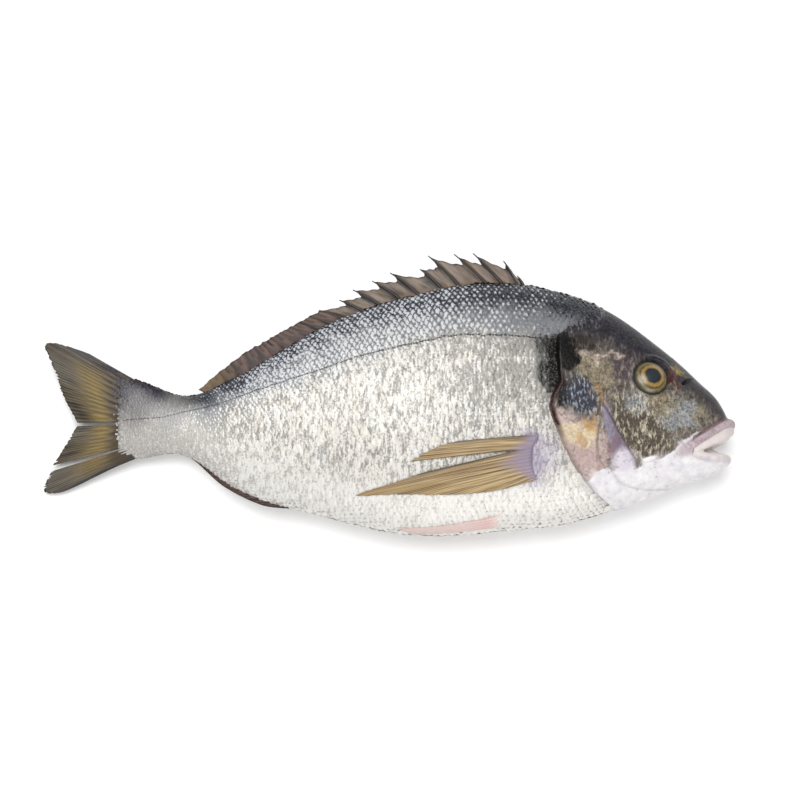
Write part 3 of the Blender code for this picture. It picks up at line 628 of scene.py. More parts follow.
HEAD_MARKS = {  # ovals: strength, centre, size, turn; stripes: strength, line, width
    "temple": ((0.9, (46, 26), (10, 9), 0),),
    "cheek": ((0.9, (44, -1), (15, 17), 15),),
    "silver patches": (
        (0.62, (43, 9.5), (6, 5), 0), (0.62, (28, 4), (7, 6), -20), (0.62, (21, 6), (5, 7), -20),
    ),
    "gold patches": (
        (0.6, (66, 24), (6, 5), 0), (0.6, (59, 21), (5, 7), 0), (0.6, (33, 9), (7, 5), 0),
        (0.6, (17, 5), (4, 5), 0),
    ),
    "pink": ((0.6, (68, -14), (7, 6), 30), (0.6, (60, -13), (5, 7), 10)),
    "opercle patch": ((1, (70, 13), (6, 8), 15), (1, (66, 8), (7, 6), 0)),
    "blotch": (
        (1, (76.5, 32), (7.5, 11), -12), (0.5, (68, 35.5), (6, 4), 0), (1, (79, 20), (4.5, 9), 0),
        (0.8, ((76.5, 20), (76, 8)), 3.2),
    ),
    "cream": ((0.8, (71, -3.5), (6, 4), 20), (0.8, (65, -5), (4, 5), 20)),
    "gold streak": (
        (0.55, ((60, 15), (59.6, 10), (60.3, 5)), 1.6), (0.7, (64.8, -0.3), (4.5, 3), 40),
        (0.5, (69, -6), (3, 2.5), 40),
    ),
    "pale line": ((0.7, PALE_LINE, 1.4),),
    "eye red": ((0.9, (27.5, 21), (3, 5.5), -15),),
    "gold band": ((0.8, ((27.8, 26.2), (22.5, 23.4)), 1.8),),
}


def on_flank(behind, height, side):
    """Points of the skin at side-view places."""
    return in_place(behind, height, side * half_thickness(behind, height))


def eye_frame(side):
    """A turn and a place for an eye, its outward way along the skin's own slope."""
    behind, height = EYE_PLACE
    step = 2 * MM
    here = on_flank(behind, height, side)
    ahead, above = on_flank(behind - step, height, side), on_flank(behind, height + step, side)
    outward = side * np.cross(ahead - here, above - here)
    outward = Vector(outward / np.linalg.norm(outward))
    return Matrix.Translation(here) @ outward.to_track_quat("Z", "Y").to_matrix().to_4x4()


def lip_rings(places, radius, steps=61, sides=16):
    """Rings of points round a roll of the lips, arched from corner to corner of the mouth."""
    places = np.asarray(places) * MM
    front, corner = places[0, 0], places[-1, 0]
    turn = np.linspace(0, math.pi, steps)
    behind = corner - (corner - front) * np.sin(turn)
    height = curve_through(places[:, 0], places[:, 1])(behind)[:, 0]
    half = half_thickness(corner, places[-1, 1]) - 0.3 * radius
    line = in_place(behind, height, half * np.cos(turn))
    along = np.gradient(line, axis=0)
    along /= np.linalg.norm(along, axis=1)[:, None]
    across = np.cross(along, (0, 1, 0))
    across /= np.linalg.norm(across, axis=1)[:, None]
    up = np.cross(across, along)
    around = np.linspace(0, 2 * math.pi, sides, endpoint=False)[None, :, None]
    folds = 1 + 0.1 * np.sin(9 * turn) + 0.06 * np.sin(23 * turn)
    swell = radius * (folds * (0.35 + 0.65 * np.sin(turn) ** 0.5))[:, None, None]
    return line[:, None] + swell * (np.cos(around) * across[:, None] + np.sin(around) * up[:, None])


def ball_rings(centre, size, rings=14, sides=24):
    """Rings of points of an egg shape about a place in the side view."""
    turn = np.linspace(0.06, math.pi - 0.06, rings)[:, None]
    around = np.linspace(0, 2 * math.pi, sides, endpoint=False)[None, :]
    behind = (centre[0] + size[0] * np.cos(turn)) * MM
    height = (centre[1] + size[1] * np.sin(turn) * np.cos(around)) * MM
    return in_place(behind, height, size[2] * np.sin(turn) * np.sin(around) * MM)


def body_rings(behinds, sides, sunk=0.0):
    """Rings of points round the body, from the belly up the right side and down the left."""
    angles = np.linspace(-90, 90, sides // 2 + 1)
    rings = []
    for behind in behinds:
        height, half = section(behind, angles, -sunk)
        right, left = in_place(behind, height, half), in_place(behind, height, -half)
        rings.append(np.concatenate([right, left[-2:0:-1]]))
    return np.array(rings)


def cut_mouth(head):
    """Cut the wedge of space between the jaws out of the head."""
    ring = np.array([[SNOUT_X - behind * MM, SNOUT_Y + height * MM, 0] for behind, height in GAPE])
    reach = (0, 0, 60 * MM)
    gape = face_out(add_mesh("gape", np.array([ring - reach, ring + reach]), ring_faces(2, len(ring))))
    modify(head, "BOOLEAN", operation="DIFFERENCE", solver="EXACT", object=gape)
    settle(head)
    bpy.data.objects.remove(gape)


def head_relief(behind, height):
    """How far the head's skin stands out, in mm: its plates, folds, eye rings and nostrils."""
    past = past_gill(behind, height)
    cover = ease(-past, -0.6 * MM, 0.2 * MM)
    free = ease(height, 46 * MM, 34 * MM)  # the gill cover's edge stands free below the nape
    relief = free * (1.15 * cover * ease(past, -22 * MM, 0) - 1.3 * (1 - cover))
    relief = relief - 0.9 * (1 - free) * ease(past, 0, 3 * MM)
    for line, depth, width in CREASES:
        relief = relief - depth * ridge(off_line(behind, height, line)[0], width * MM)
    away, share = off_line(behind, height, FLANGE)
    relief = relief + 0.7 * ridge(away, (1.2 + 2.2 * share) * MM)
    relief = relief + 0.35 * patch(behind, height, *CHEEK_SWELL)
    from_eye = np.hypot(behind - EYE_PLACE[0], height - EYE_PLACE[1]) / MM
    relief = relief + 0.7 * ridge(from_eye - EYE_RING, EYE_RING_WIDTH) - 2.4 * ease(from_eye, 8.5, 7.4)
    slit = off_oval(behind, height, *NOSTRIL)
    relief = relief - 2.0 * ease(slit, 1.1, 0.3) + 0.35 * ridge(slit - 1.6, 0.45)
    return relief + 0.5 * ridge(off_line(behind, height, JAW_BONE)[0], 2.4 * MM)


def uneven(behind, height, length, reach):
    """Shift side-view places by smooth random waves, so that borders drawn on them wander."""
    for _ in range(9):
        way, *starts = 2 * math.pi * random.random(3)
        far = behind * math.cos(way) + height * math.sin(way)
        wave = 2 * math.pi * far / (length * (0.4 + 1.2 * random.random()))
        behind, height = behind + reach * np.sin(wave + starts[0]), height + reach * np.sin(wave + starts[1])
    return behind, height


def mouth_fields(behind, height, sideways):
    """Where the colours of the lips and the open mouth lie."""
    upper = off_line(behind, height, UPPER_LIP)[0] / (2.6 * MM)
    lower = off_line(behind, height, LOWER_LIP)[0] / (2.0 * MM)
    lips = np.maximum(1.4 * (1 - ease(upper, 0.7, 1.2)), 0.4 * (1 - ease(lower, 0.6, 1.2)))
    above = stripe(behind, height, np.add(UPPER_LIP, (0.6, 2.4)), 1.0)
    below = stripe(behind, height, np.add(UPPER_LIP, (-0.6, -2.0)), 0.8)
    inside = np.abs(sideways) < half_thickness(behind, height) - 2.5 * MM
    gape_top = np.interp(behind, *np.array(UPPER_LIP).T * MM)
    in_mouth = ease(height - gape_top, -1.2 * MM, -2.2 * MM) * (behind < 19.5 * MM) * (height > -12.6 * MM)
    return {
        "lip": np.maximum(lips, 0.8 * patch(behind, height, (22.5, -9.5), (5, 3), -30)),
        "lip edge": 0.75 * (behind < 20 * MM) * np.maximum(above, below),
        "mouth": in_mouth * 1.3,
        "slit": stripe(behind, height, ((13.5, -11.2), (7, -12.4)), 1.0) * inside,
    }


def head_fields(behind, height, sideways):
    """Where each colour of the head lies."""
    fields = mouth_fields(behind, height, sideways)
    away, share = off_line(behind, height, FLANGE)
    # Painted shade: each crease is darkened along its line, over the groove that head_relief cuts there
    crease_shades = [
        stripe(behind, height, line, width * 0.6) * min(1, depth * 1.5) for line, depth, width in CREASES
    ]
    shadow = ease(np.abs(past_gill(behind, height) + 0.5 * MM), 2.4 * MM, 0.2 * MM)
    shadow = shadow * ease(height, 24 * MM, 14 * MM) * ease(height, -34 * MM, -24 * MM)
    fields.update({
        "flange": (1 - ease(away - (0.2 + 2.4 * share) * MM, 0.2 * MM, 2.2 * MM)) * 0.9,
        "flange white": patch(behind, height, (50, -15), (5, 5)),
        "flange red": 0.55 * patch(behind, height, (53.8, -8.5), (2.4, 5), 20),
        "painted crease shade": np.max(crease_shades, axis=0) * (0.35 + 0.35 * ease(height, -16 * MM, -10 * MM)),
        "gill shadow": shadow * (0.25 + 0.75 * ease(height, -10 * MM, 4 * MM)),
    })
    behind, height = uneven(behind, height, 8 * MM, 0.45 * MM)
    fields.update({name: mark(behind, height, shapes) for name, shapes in HEAD_MARKS.items()})
    deep = body_at(behind)[0] - height
    past = past_gill(behind, height)
    blotch = fields["blotch"]
    slate = 1 - ease(deep, 4 * MM + 0.10 * behind, 12 * MM + 0.22 * behind)
    low = ease(height - 0.4 * (behind - 60 * MM), 5 * MM, -5 * MM)
    fields.update({
        "slate": 1.3 * slate * (1 - 0.6 * blotch) * (1 - 0.35 * ease(behind, 32 * MM, 14 * MM)),
        "lower cover": low * ease(behind, 56 * MM, 62 * MM),
        "throat": 1.7 * ease(height - through(THROAT_BORDER, behind), 2.6 * MM, -2.6 * MM),
        "blotch": 1.5 * blotch,
    })
    flecked = 0.35 + 0.6 * patch(behind, height, (45, -2), (16, 17), 15) + 0.5 * fields["opercle patch"]
    nape = 0.6 * ease(past, -12 * MM, -2 * MM) * ease(height, 28 * MM, 36 * MM)
    fields["flecked"] = np.maximum(flecked * (1 - slate), nape) * (1 - blotch)
    return fields


def make_head(material):
    """The head as one skin: its bones, lips and throat, back to the edge of the gill cover."""
    snout = np.linspace(HEAD_FROM**0.5, HEAD_ROUND**0.5, 14) ** 2
    rings = body_rings(np.concatenate([snout, np.linspace(HEAD_ROUND, HEAD_TO, 66)[1:]]) * MM, 120)
    head = face_out(add_mesh("head", rings, ring_faces(*rings.shape[:2])))
    cut_mouth(head)
    points, faces = list(points_of(head)), [tuple(face.vertices) for face in head.data.polygons]
    for rings in (
        lip_rings(UPPER_LIP, LIP_RADIUS), lip_rings(INNER_LIP, INNER_LIP_RADIUS),
        lip_rings(LOWER_LIP, LIP_RADIUS), ball_rings(*TONGUE),
    ):
        faces += ring_faces(*rings.shape[:2], first=len(points))
        points += list(rings.reshape(-1, 3))
    bpy.data.objects.remove(head)
    head = face_out(add_mesh("head_skin", points, faces, material))
    modify(head, "REMESH", mode="VOXEL", voxel_size=HEAD_VOXEL)
    modify(head, "SMOOTH", iterations=4, factor=0.5)
    settle(head)
    points = points_of(head)
    behind, height, sideways = side_view(points)
    flank = ease(np.abs(sideways) / (half_thickness(behind, height) + 1 * MM), 0.25, 0.6)
    relief = head_relief(behind, height) * flank * MM
    move_points(head, points + points_of(head, "normal") * relief[:, None])
    modify(head, "SMOOTH", iterations=2, factor=0.5)
    settle(head)
    keep_fields(head, head_fields(behind, height, sideways))
    head.data.shade_smooth()
    if not head.data.materials:
        head.data.materials.append(material)
    return head


def make_eye(side, material):
    """The eyeball's dome, flat over the iris and swelling a little over the pupil."""
    eye = add_mesh("right_eye" if side > 0 else "left_eye", [], [], material)
    made = bmesh.new()
    bmesh.ops.create_uvsphere(made, u_segments=64, v_segments=40, radius=1)
    made.to_mesh(eye.data)
    made.free()
    points = points_of(eye)
    out = np.hypot(points[:, 0], points[:, 1])
    keep_fields(eye, {"out": np.where(points[:, 2] > 0, out, 1)})
    points = points * (EYE_RADIUS, EYE_RADIUS, EYE_RADIUS * EYE_FLATNESS)
    points[:, 2] += EYE_PROUD - EYE_RADIUS * EYE_FLATNESS - 0.5 * MM
    move_points(eye, points)
    eye.data.transform(eye_frame(side))
    eye.data.shade_smooth()
    return eye


# Trunk and scales

TRUNK_BLOTCH = ((1, (79, 31), (8, 9), -12), (1, (80, 21), (4, 8), 0))


def trunk_fields(behind, height):
    """Where each colour of the trunk lies, and how far its dark pigment spreads."""
    behind, height = uneven(behind, height, 16 * MM, 0.5 * MM)
    back, belly = body_at(behind)[:2]
    over = height - through(LATERAL_LINE, behind)
    rear = ease(behind, 120 * MM, 205 * MM)
    fields = {
        "back": 1 - ease(back - height, (7 - 4 * rear) * MM, (18 - 8 * rear) * MM),
        "steel": np.maximum(rear * ease(over, -9 * MM, 2 * MM), 0.8 * ease(over, -2 * MM, 5 * MM)),
        "belly": ease(height - belly, 30 * MM, 8 * MM) * (1 - 0.4 * rear),
        "warm": 0.4 * ease(over, 8 * MM, -4 * MM) * ease(height - belly, 8 * MM, 20 * MM),
        "tail base": ease(behind, 230 * MM, 260 * MM) * 0.9,
        "blotch": mark(behind, height, TRUNK_BLOTCH),
        "fin base": patch(behind, height, (86, -14), (9, 11)),
        "dotted": np.maximum(ease(over, -8 * MM, 5 * MM), 0.7 * rear * ease(over, -16 * MM, 0)),
    }
    front = ease(behind, 135 * MM, 95 * MM) * ease(height - belly, 36 * MM, 62 * MM)
    root = ease(behind, 200 * MM, 236 * MM)
    nape = ease(past_gill(behind, height), 26 * MM, -2 * MM) * ease(height, 34 * MM, 46 * MM)
    dotted = fields["dotted"]
    pigment = 0.22 + 0.03 * rear + 0.45 * front + 0.34 * dotted + 0.12 * fields["back"] + 0.63 * nape
    pigment += root * (0.46 + 0.14 * ease(over, -6 * MM, 1 * MM)) - 0.14 * rear * (1 - root) * dotted
    fields["pigment"] = pigment - 0.16 * fields["belly"] + 0.42 * fields["tail base"]
    return fields


def make_trunk(material):
    """The skin under the scales, from behind the gill covers to the root of the tail."""
    rings = body_rings(np.linspace(50, 267.5, 170) * MM, 112, sunk=SKIN_SUNK)
    trunk = face_out(add_mesh("trunk_skin", rings, ring_faces(*rings.shape[:2]), material))
    points = points_of(trunk)
    behind, height, _ = side_view(points)
    past = past_gill(behind, height)
    sunk = 2.2 * ease(past, 0.5 * MM, -3 * MM) + 0.8 * ridge(past, 2.2 * MM) * (height < 38 * MM)
    move_points(trunk, points - points_of(trunk, "normal") * sunk[:, None] * MM)
    even = np.ones(len(points))
    bare = {"shade": 0.5 * even, "spot": 0.4 * even, "line": 0 * even, "pore": 0 * even}
    keep_fields(trunk, {**trunk_fields(behind, height), **bare})
    return trunk


def scale_pattern(material):
    """One scale, about 1 across: its front end buried, its rear edge round and raised."""
    turn = np.radians(np.linspace(-105, 105, 9))
    edge = np.column_stack([0.55 + 0.62 * np.cos(turn), 0.98 * np.sin(turn)])
    outline = np.concatenate([[(-0.75, -0.62)], edge, [(-0.75, 0.62)]])
    inner = (SCALE_MIDDLE, 0) + (outline - (SCALE_MIDDLE, 0)) * 0.6
    rise = 0.02 + 0.075 * ease(outline[:, 0], -0.4, 0.9) - 0.36 * ease(outline[:, 0], 0.4, -0.75)
    inner_rise = 0.05 + 0.07 * ease(inner[:, 0], -0.4, 0.9) - 0.25 * ease(inner[:, 0], 0.5, -0.25)
    top, foot = (SCALE_MIDDLE, 0, 0.14), (0, 0, -0.35)
    points = [*np.column_stack([outline, rise]), *np.column_stack([inner, inner_rise]), top, foot]
    count = len(outline)
    faces = []
    for here in range(count):
        on = (here + 1) % count
        faces.append((here, on, count + on, count + here))
        faces += [(count + here, count + on, 2 * count), (on, here, 2 * count + 1)]
    scale = face_out(add_mesh("scale", points, faces, material))
    # The rim is a crisp edge, so that the top stays evenly bright right up to it
    for edge in scale.data.edges:
        edge.use_edge_sharp = max(edge.vertices) < count
    tip = 1.0 * (np.arange(count) == count // 2)
    keep_fields(scale, {
        "spot": np.concatenate([np.zeros(count), np.full(count, 0.5), [1.0, 0.0]]),
        "pore": np.concatenate([tip, tip, [1.0, 0.0]]),
    })
    return scale


def scale_places(side):
    """Places, angles and sizes of the scales on one side, in rows along the lateral line."""
    angles = np.linspace(-88, 88, 353)
    places, rows = [], []
    behind, column = SCALES_FROM, 0
    while behind < SCALES_TO:
        back, belly = body_at(behind)[:2]
        size = max(0.5, ((back - belly) / (108 * MM)) ** 0.5) * (1 - 0.3 * ease(behind, 256 * MM, 272 * MM))
        height, half = section(behind, angles)
        steps = np.diff(in_place(behind, height, side * half), axis=0)
        arc = np.concatenate([[0], np.cumsum(np.linalg.norm(steps, axis=1))])
        middle = np.interp(through(LATERAL_LINE, behind), height, arc)
        pitch = ROW_PITCH * size
        for row in range(-math.floor(middle / pitch), math.floor((arc[-1] - middle) / pitch) + 1):
            if (row + column) % 2 == 0:
                angle = np.interp(middle + row * pitch, arc, angles)
                jog = random.normal(0, 1, 3)
                places.append((behind + 0.2 * MM * jog[0], angle + 0.25 * jog[1], size * (1 + 0.07 * jog[2])))
                rows.append(row)
        behind += SCALE_PITCH / 2 * size
        column += 1
    return np.array(places), np.array(rows)


def make_scale_tree():
    """Lay one scale at each place, turned to the skin, and make them all one mesh."""
    tree = bpy.data.node_groups.new("Lay scales", "GeometryNodeTree")
    for name, kind in (
        ("Places", "Geometry"), ("Scale", "Object"), ("Scale size", "Float"), ("Uneven tilt", "Float"),
        ("Seed", "Int"), ("Material", "Material"),
    ):
        tree.interface.new_socket(name, in_out="INPUT", socket_type="NodeSocket" + kind)
    tree.interface.new_socket("Scales", in_out="OUTPUT", socket_type="NodeSocketGeometry")
    given = add(tree, "NodeGroupInput").node.outputs
    scale = {"Object": given["Scale"]}
    pattern = add(tree, "GeometryNodeObjectInfo", scale, "Geometry", transform_space="ORIGINAL")
    outward, tailward, size = (
        add(tree, "GeometryNodeInputNamedAttribute", {"Name": name}, data_type=kind)
        for name, kind in (("outward", "FLOAT_VECTOR"), ("tailward", "FLOAT_VECTOR"), ("size", "FLOAT"))
    )
    low = add(tree, "Math", {0: given["Uneven tilt"], 1: -1.0}, operation="MULTIPLY")
    between = {0: low, 1: given["Uneven tilt"], "Seed": given["Seed"]}
    tilt = add(tree, "FunctionNodeRandomValue", between, data_type="FLOAT_VECTOR")
    facing = {0: outward, 1: tailward}
    turn = add(tree, "FunctionNodeAxesToRotation", facing, primary_axis="Z", secondary_axis="X")
    tilt = add(tree, "FunctionNodeEulerToRotation", {0: tilt})
    turn = add(tree, "FunctionNodeRotateRotation", {0: turn, 1: tilt}, rotation_space="LOCAL")
    laid = add(tree, "GeometryNodeInstanceOnPoints", {
        "Points": given["Places"], "Instance": pattern, "Rotation": turn,
        "Scale": add(tree, "Math", {0: size, 1: given["Scale size"]}, operation="MULTIPLY"),
    })
    shade = add(tree, "FunctionNodeRandomValue", {"Seed": given["Seed"]}, 1, data_type="FLOAT")
    shaded = add(
        tree, "GeometryNodeStoreNamedAttribute", {"Geometry": laid, "Name": "shade", "Value": shade},
        data_type="FLOAT", domain="INSTANCE",
    )
    real = add(tree, "GeometryNodeRealizeInstances", {0: shaded})
    finished = add(tree, "GeometryNodeSetMaterial", {"Geometry": real, "Material": given["Material"]})
    add(tree, "NodeGroupOutput", {0: finished})
    return tree


def grow(piece, tree, values):
    """Run a node tree on a piece with named values, and keep the plain mesh it makes."""
    modifier = modify(piece, "NODES", node_group=tree)
    for socket in tree.interface.items_tree:
        if socket.in_out == "INPUT" and socket.name in values:
            modifier[socket.identifier] = values[socket.name]
    settle(piece)


def on_skin(behind, angle, side):
    """Points of the skin at angles round the body, with their heights in the side view."""
    height, half = section(behind, angle)
    return in_place(behind, height, side * half), height


def make_scales(side, tree, pattern, material):
    """The scales of one side of the trunk."""
    places, rows = scale_places(side)
    behind, angle, size = places.T
    here, height = on_skin(behind, angle, side)
    tailward = on_skin(behind + 1 * MM, angle, side)[0] - here
    outward = side * np.cross(on_skin(behind, angle + 1, side)[0] - here, tailward)
    outward /= np.linalg.norm(outward, axis=1)[:, None]
    bare = -8 * MM * ease(height, 39 * MM, 46 * MM) + 5 * MM * random.random(len(here)) ** 3
    covered = past_gill(behind, height) > np.where(height < 40 * MM, 2.2 * MM, bare)
    flesh_left = (through(TAIL_FLESH_END, height) - behind) / MM
    clear = covered & (flesh_left > 12 * random.random(len(here)) ** 2 - 2)
    fields = trunk_fields(behind, height)
    # The scales grow smaller where they end on the tail fin
    size = size * (0.45 + 0.55 * ease(flesh_left, -2, 6))
    fields.update({"line": (rows == 0) * 1.0, "size": size, "outward": outward, "tailward": tailward})
    scales = add_mesh("right_scales" if side > 0 else "left_scales", here[clear], [])
    keep_fields(scales, {field: values[clear] for field, values in fields.items()})
    grow(scales, tree, {
        "Scale": pattern, "Scale size": SCALE_SIZE, "Uneven tilt": SCALE_TILT, "Seed": SCALE_SEED,
        "Material": material,
    })
    scales.data.shade_smooth()
    return scales


# Fins

def ribs_over(share, along, rays, branches):
    """How strongly the rays stand out over a fin: they branch in two, and again, on the way."""
    phase = share * (rays - 1)
    rib = np.cos(math.pi * phase) ** 2
    for branch, start in enumerate(branches, 1):
        finer = np.cos(math.pi * phase * 2**branch) ** 2
        blend = ease(along, start - 0.06, start + 0.1)
        rib = rib * (1 - blend) + finer * blend
    return rib**1.5


def shares(columns, rows):
    """Shares across and along a fin, over a grid."""
    return np.meshgrid(np.linspace(0, 1, columns), np.linspace(0, 1, rows))


def reach_out(roots, tips, along):
    """Side-view places at shares of the way from roots to tips."""
    return roots + (tips - roots) * along[..., None]


def from_back(behind):
    """Where a dorsal web is rooted, a little inside the back."""
    return np.stack([behind, body_at(behind)[0] - FIN_SUNK], axis=-1)


def half_of(rib, along, taper):
    """Half the thickness of a fin: stout rays, a thin web, and both thinner further out."""
    return (WEB_HALF + (RAY_HALF - WEB_HALF) * rib) * (1 - taper * along)


def fan(root, tips, start, end, rays, rows, ragged):
    """A fan of rays between two lines, eight columns to a ray: its places and shares."""
    share, along = shares(8 * (rays - 1) + 1, rows)
    roots, ends = spread(root, start + (end - start) * share[0]), spread(tips, share[0])
    scallop = 0.4 + 0.6 * np.sin(math.pi * share[0] * (rays - 1) * 4) ** 2
    reach = 1.005 - ragged * random.random(len(roots)) ** 2 * scallop
    return reach_out(roots, ends, along * reach), along, share


def add_fin(name, places, middle, half, rays, fields, material):
    """A thin closed fin between two faces, about a middle distance from the middle plane."""
    behind, height = places[..., 0], places[..., 1]
    fields["across"] = np.linspace(0, 1.6 * rays, behind.shape[1])[None, :] + 50 * random.random()
    fields.setdefault("root", ease(fields["along"], 0.24, 0.02))
    upper, lower = in_place(behind, height, middle + half), in_place(behind, height, middle - half)
    points = np.concatenate([upper.reshape(-1, 3), lower.reshape(-1, 3)])
    fin = face_out(add_mesh(name, points, sheet_faces(*behind.shape), material))
    for field, values in fields.items():
        keep_fields(fin, {field: np.tile(np.broadcast_to(values, behind.shape).ravel(), 2)})
    return fin


def join(pieces, name):
    """Join pieces into the first of them."""
    with bpy.context.temp_override(active_object=pieces[0], selected_editable_objects=pieces):
        bpy.ops.object.join()
    pieces[0].name = name
    return pieces[0]


def make_tail(material):
    """The forked tail fin, in three groups of rays with splits between them."""
    groups = []
    for tips, start, end, rays in TAIL_GROUPS:
        places, along, share = fan(TAIL_ROOT, tips, start, end, rays, 44, 0.05)
        rib = ribs_over(share, along, rays, (0.3, 0.55))
        across = start + (end - start) * share
        middle = 0.8 * MM * along * np.sin(across * 7) + 0.3 * MM * along**2 * np.sin(across * 23)
        half = half_of(rib, along, 0.5) + 0.5 * MM * ease(along, 0.25, 0)
        fields = {
            "rib": rib, "along": along, "root": 0.85 * ease(along, 0.45, 0.15),
            "tint": 0.75 * ease(along, 0.85, 0.35) * ease(across, 0.06, 0.24) * ease(across, 0.98, 0.8),
            "edge": 0.8 * np.maximum(ease(across, 0.16, 0.02), ease(across, 0.86, 0.98)),
        }
        groups.append(add_fin("tail_fin", places, middle, half, rays, fields, material))
    return join(groups, "tail_fin")


def make_soft_dorsal(material):
    """The soft rear part of the dorsal fin, its rays laid well back."""
    rays = 13
    share, along = shares(8 * (rays - 1) + 1, 16)
    roots = from_back(DORSAL_RAYS_FROM + (DORSAL_RAYS_TO - DORSAL_RAYS_FROM) * share[0])
    notch = 1 - 0.05 * np.abs(np.sin(math.pi * share[0] * (rays - 1))) - 0.04 * random.random(len(roots))
    places = reach_out(roots, spread(DORSAL_RAY_TIPS, share[0]), along * notch)
    rib = ribs_over(share, along, rays, (0.55,))
    middle = 0.2 * MM * along * np.sin(share * 20)
    fields = {"rib": rib, "along": along, "tint": ease(share, 0.7, 1.0), "edge": 0.8 * ease(along, 0.5, 0.12)}
    return add_fin("soft_dorsal_fin", places, middle, half_of(rib, along, 0.4), rays, fields, material)


def make_spiny_web(material):
    """The webs between the dorsal spines. Each runs from the tip of its rear spine down to
    the middle of its front one, and leaves the front one's point bare."""
    spines = np.asarray(DORSAL_SPINES) * MM
    share, along = shares(17, 14)
    hollow = 0.3 * (1 - share) ** 0.8 * ease(share, -0.1, 0.15) + 0.05 * np.sin(math.pi * share)
    near = np.maximum(ease(share, 0.34, 0.1), ease(share, 0.76, 0.94))
    webs = []
    for count, (front, rear) in enumerate(zip(spines[:-1], spines[1:])):
        behind, *tips = (front + (rear - front) * share[0][:, None]).T
        reach = 0.97 - hollow + 0.02 * np.sin(share * 17 + count)
        places = reach_out(from_back(behind), np.stack(tips, axis=-1), along * reach)
        middle = 0.5 * MM * np.sin(math.pi * share) * np.sin(along * 3 + count) * (-1) ** count
        fields = {
            "rib": np.maximum(near, 0.25 * np.sin(share * 40 + 4 * along + count) ** 8), "along": along,
            "tint": 0.8 * ease(along, 0.35, 0.05), "edge": 0.9 * ease(along, 0.9, 1.0),
        }
        webs.append(add_fin("spiny web", places, middle, WEB_HALF, 2, fields, material))
    return join(webs, "dorsal_fin_web")


def make_spines(material):
    """The dorsal spines: stiff tapering needles with a groove along each side."""
    around, along = shares(13, 24)
    around, along = 2 * math.pi * around[:, :-1], along[:, :-1]
    radius = (0.85 - 0.62 * along**1.3) * MM * (1 - 0.22 * np.cos(around * 2) ** 8)
    lean = 0.6 * MM * np.sin(math.pi * along)
    spines = []
    for count, (root, tip, top) in enumerate(np.asarray(DORSAL_SPINES) * MM):
        start = np.array([root, body_at(root)[0] - 2 * MM])
        way = np.array([tip, top]) - start
        across = np.array([-way[1], way[0]]) / np.linalg.norm(way)
        side = radius * np.cos(around)
        behind = start[0] + way[0] * along - 0.8 * lean + across[0] * side
        height = start[1] + way[1] * along + 0.5 * lean + across[1] * side
        level = in_place(behind, height, radius * np.sin(around) * 0.8)
        spine = face_out(add_mesh("spine", level, ring_faces(*level.shape[:2]), material))
        fields = {
            "rib": np.abs(np.cos(around)) ** 3, "along": along, "across": np.sin(around) + count,
            "tint": 0 * along, "edge": 0.6 * ease(along, 0.8, 1), "root": 0 * along,
        }
        keep_fields(spine, {field: values.ravel() for field, values in fields.items()})
        spines.append(spine)
    return join(spines, "dorsal_spines")


def make_anal_fin(material):
    """The anal fin, folded back along the belly."""
    rays = 12
    share, along = shares(8 * (rays - 1) + 1, 12)
    root = ANAL_FROM + (ANAL_TO - ANAL_FROM) * share[0]
    drop = ease(root, ANAL_FROM - 4 * MM, ANAL_FROM + 14 * MM)
    drop = ANAL_DROP * drop * (1 - ease(root, ANAL_TO - 14 * MM, ANAL_TO + 4 * MM))
    roots = np.stack([root, body_at(root)[1] + 2 * MM], axis=-1)
    tips = np.stack([root + ANAL_SWEEP, body_at(root + ANAL_SWEEP)[1] - drop], axis=-1)
    rib = ribs_over(share, along, rays, (0.6,))
    middle = 0.3 * MM * along * np.sin(share * 14)
    fields = {"rib": rib, "along": along, "tint": 0.0, "edge": 0.5 * ease(along, 0.6, 1)}
    return add_fin(
        "anal_fin", reach_out(roots, tips, along), middle, half_of(rib, along, 0), rays, fields, material
    )


def make_pectoral(side, material):
    """A pectoral fin laid back along the flank, its fine rays running out to a point."""
    groups = []
    for tips, start, end, rays in PECTORAL_GROUPS:
        places, along, share = fan(PECTORAL_ROOT, tips, start, end, rays, 40, 0.03)
        rib = ribs_over(share, along, rays, (0.3, 0.6))
        half = half_of(rib, along, 0.4) + 0.35 * MM * ease(along, 0.2, 0)
        lift = (0.75 + 0.35 * ease(along, 0, 0.2) - 0.35 * along) * MM
        middle = side * (half_thickness(places[..., 0], places[..., 1]) + lift)
        upper_edge = ease(share, 0.14 if start > 0 else 0.5, 0.0)
        fields = {"rib": rib * 0.8, "along": along, "tint": ease(along, 0.17, 0.03), "edge": upper_edge * 0.8}
        groups.append(add_fin("pectoral", places, middle, half, rays, fields, material))
    fin = join(groups, "right_pectoral_fin" if side > 0 else "left_pectoral_fin")
    points = points_of(fin)
    # The left fin lies between the scales and the board
    points[:, 2] -= 0.5 * MM * ease(points[:, 2], 1.6 * MM, 0.2 * MM)
    move_points(fin, points)
    return fin


def make_pelvic(side, material):
    """A pelvic fin folded back against the belly."""
    rays = 6
    share, along = shares(8 * (rays - 1) + 1, 24)
    behind = PELVIC_FROM + (PELVIC_TO - PELVIC_FROM) * along * (1 - 0.12 * share)
    root, tip = (start + (end - start) * share for start, end in (PELVIC_ROOT_ANGLES, PELVIC_TIP_ANGLES))
    # Its root comes out from under the scales
    proud = 0.45 * MM - 1.1 * MM * ease(along, 0.16, 0)
    height, half = section(behind, root + (tip - root) * along, proud)
    rib = ribs_over(share, along, rays, (0.4,))
    fields = {"rib": rib * 0.7, "along": along, "tint": 0.8 * ease(along, 0.5, 0.1), "edge": 0.0}
    name = "right_pelvic_fin" if side > 0 else "left_pelvic_fin"
    places = np.stack([behind, height], axis=-1)
    return add_fin(name, places, side * half, half_of(rib, along, 0.4), rays, fields, material)


# Studio and assembly

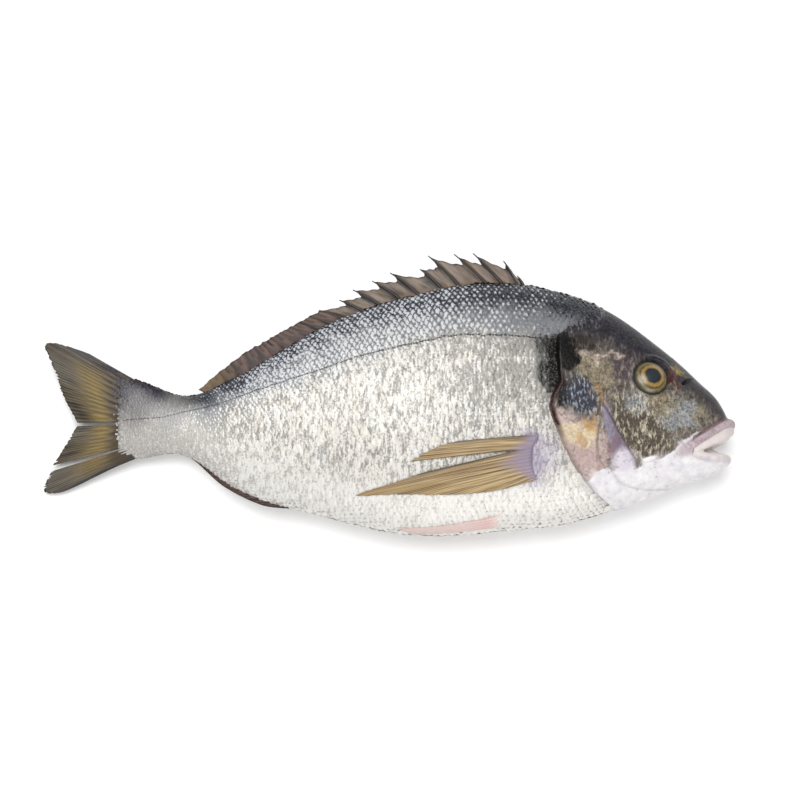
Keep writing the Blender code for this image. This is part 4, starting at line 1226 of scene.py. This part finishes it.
def make_studio():
    """A white board, a broad soft light behind the back of the fish, and the camera."""
    corners = [(x * BOARD_HALF, y * BOARD_HALF, 0) for x, y in ((-1, -1), (1, -1), (1, 1), (-1, 1))]
    board = add_mesh("board", corners, [(0, 1, 2, 3)], make_floor_finish())
    scene = bpy.context.scene
    for name, place, size, power in LIGHTS:
        data = bpy.data.lights.new(name, "AREA")
        data.shape, data.size, data.energy = "DISK", size, power
        light = bpy.data.objects.new(name, data)
        light.location = place
        light.rotation_euler = (-Vector(place)).to_track_quat("-Z", "Y").to_euler()
        scene.collection.objects.link(light)
    scene.world = bpy.data.worlds.new("pale studio")
    scene.world.use_nodes = True
    tree = scene.world.node_tree
    fill(tree, tree.nodes["Background"], {"Color": "#FFFFFF", "Strength": SKY_STRENGTH})
    scene.view_settings.view_transform = "Standard"
    data = bpy.data.cameras.new("camera")
    data.lens, data.sensor_width = CAMERA_LENS, 36
    camera = bpy.data.objects.new("camera", data)
    scene.collection.objects.link(camera)
    away = Vector((0, -math.cos(CAMERA_ELEVATION), math.sin(CAMERA_ELEVATION)))
    camera.location = Vector(CAMERA_TARGET) + away * CAMERA_DISTANCE
    camera.rotation_euler = (-away).to_track_quat("-Z", "Y").to_euler()
    scene.camera = camera


def main():
    head_skin, scale_skin, eye_finish = make_head_skin(), make_scale_skin(), make_eye_finish()
    dorsal, spine, soft, tail, pectoral, pelvic = (make_fin_skin(name) for name in FIN_FINISHES)

    head = make_head(head_skin)
    trunk = make_trunk(scale_skin)
    tree, pattern = make_scale_tree(), scale_pattern(scale_skin)
    skins = [trunk, *(make_scales(side, tree, pattern, scale_skin) for side in (1, -1))]
    bpy.data.objects.remove(pattern)
    eyes = [make_eye(side, eye_finish) for side in (1, -1)]
    fins = [
        make_spiny_web(dorsal), make_spines(spine), make_soft_dorsal(soft), make_tail(tail),
        make_anal_fin(soft), *(make_pectoral(side, pectoral) for side in (1, -1)),
        *(make_pelvic(side, pelvic) for side in (1, -1)),
    ]
    for slot, pieces in (("head", [head]), ("skin", skins), ("eye", eyes), ("fin", fins)):
        for piece in pieces:
            rest_on_board(piece)
            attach(piece, "root")
    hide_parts("fish")
    make_studio()


main()
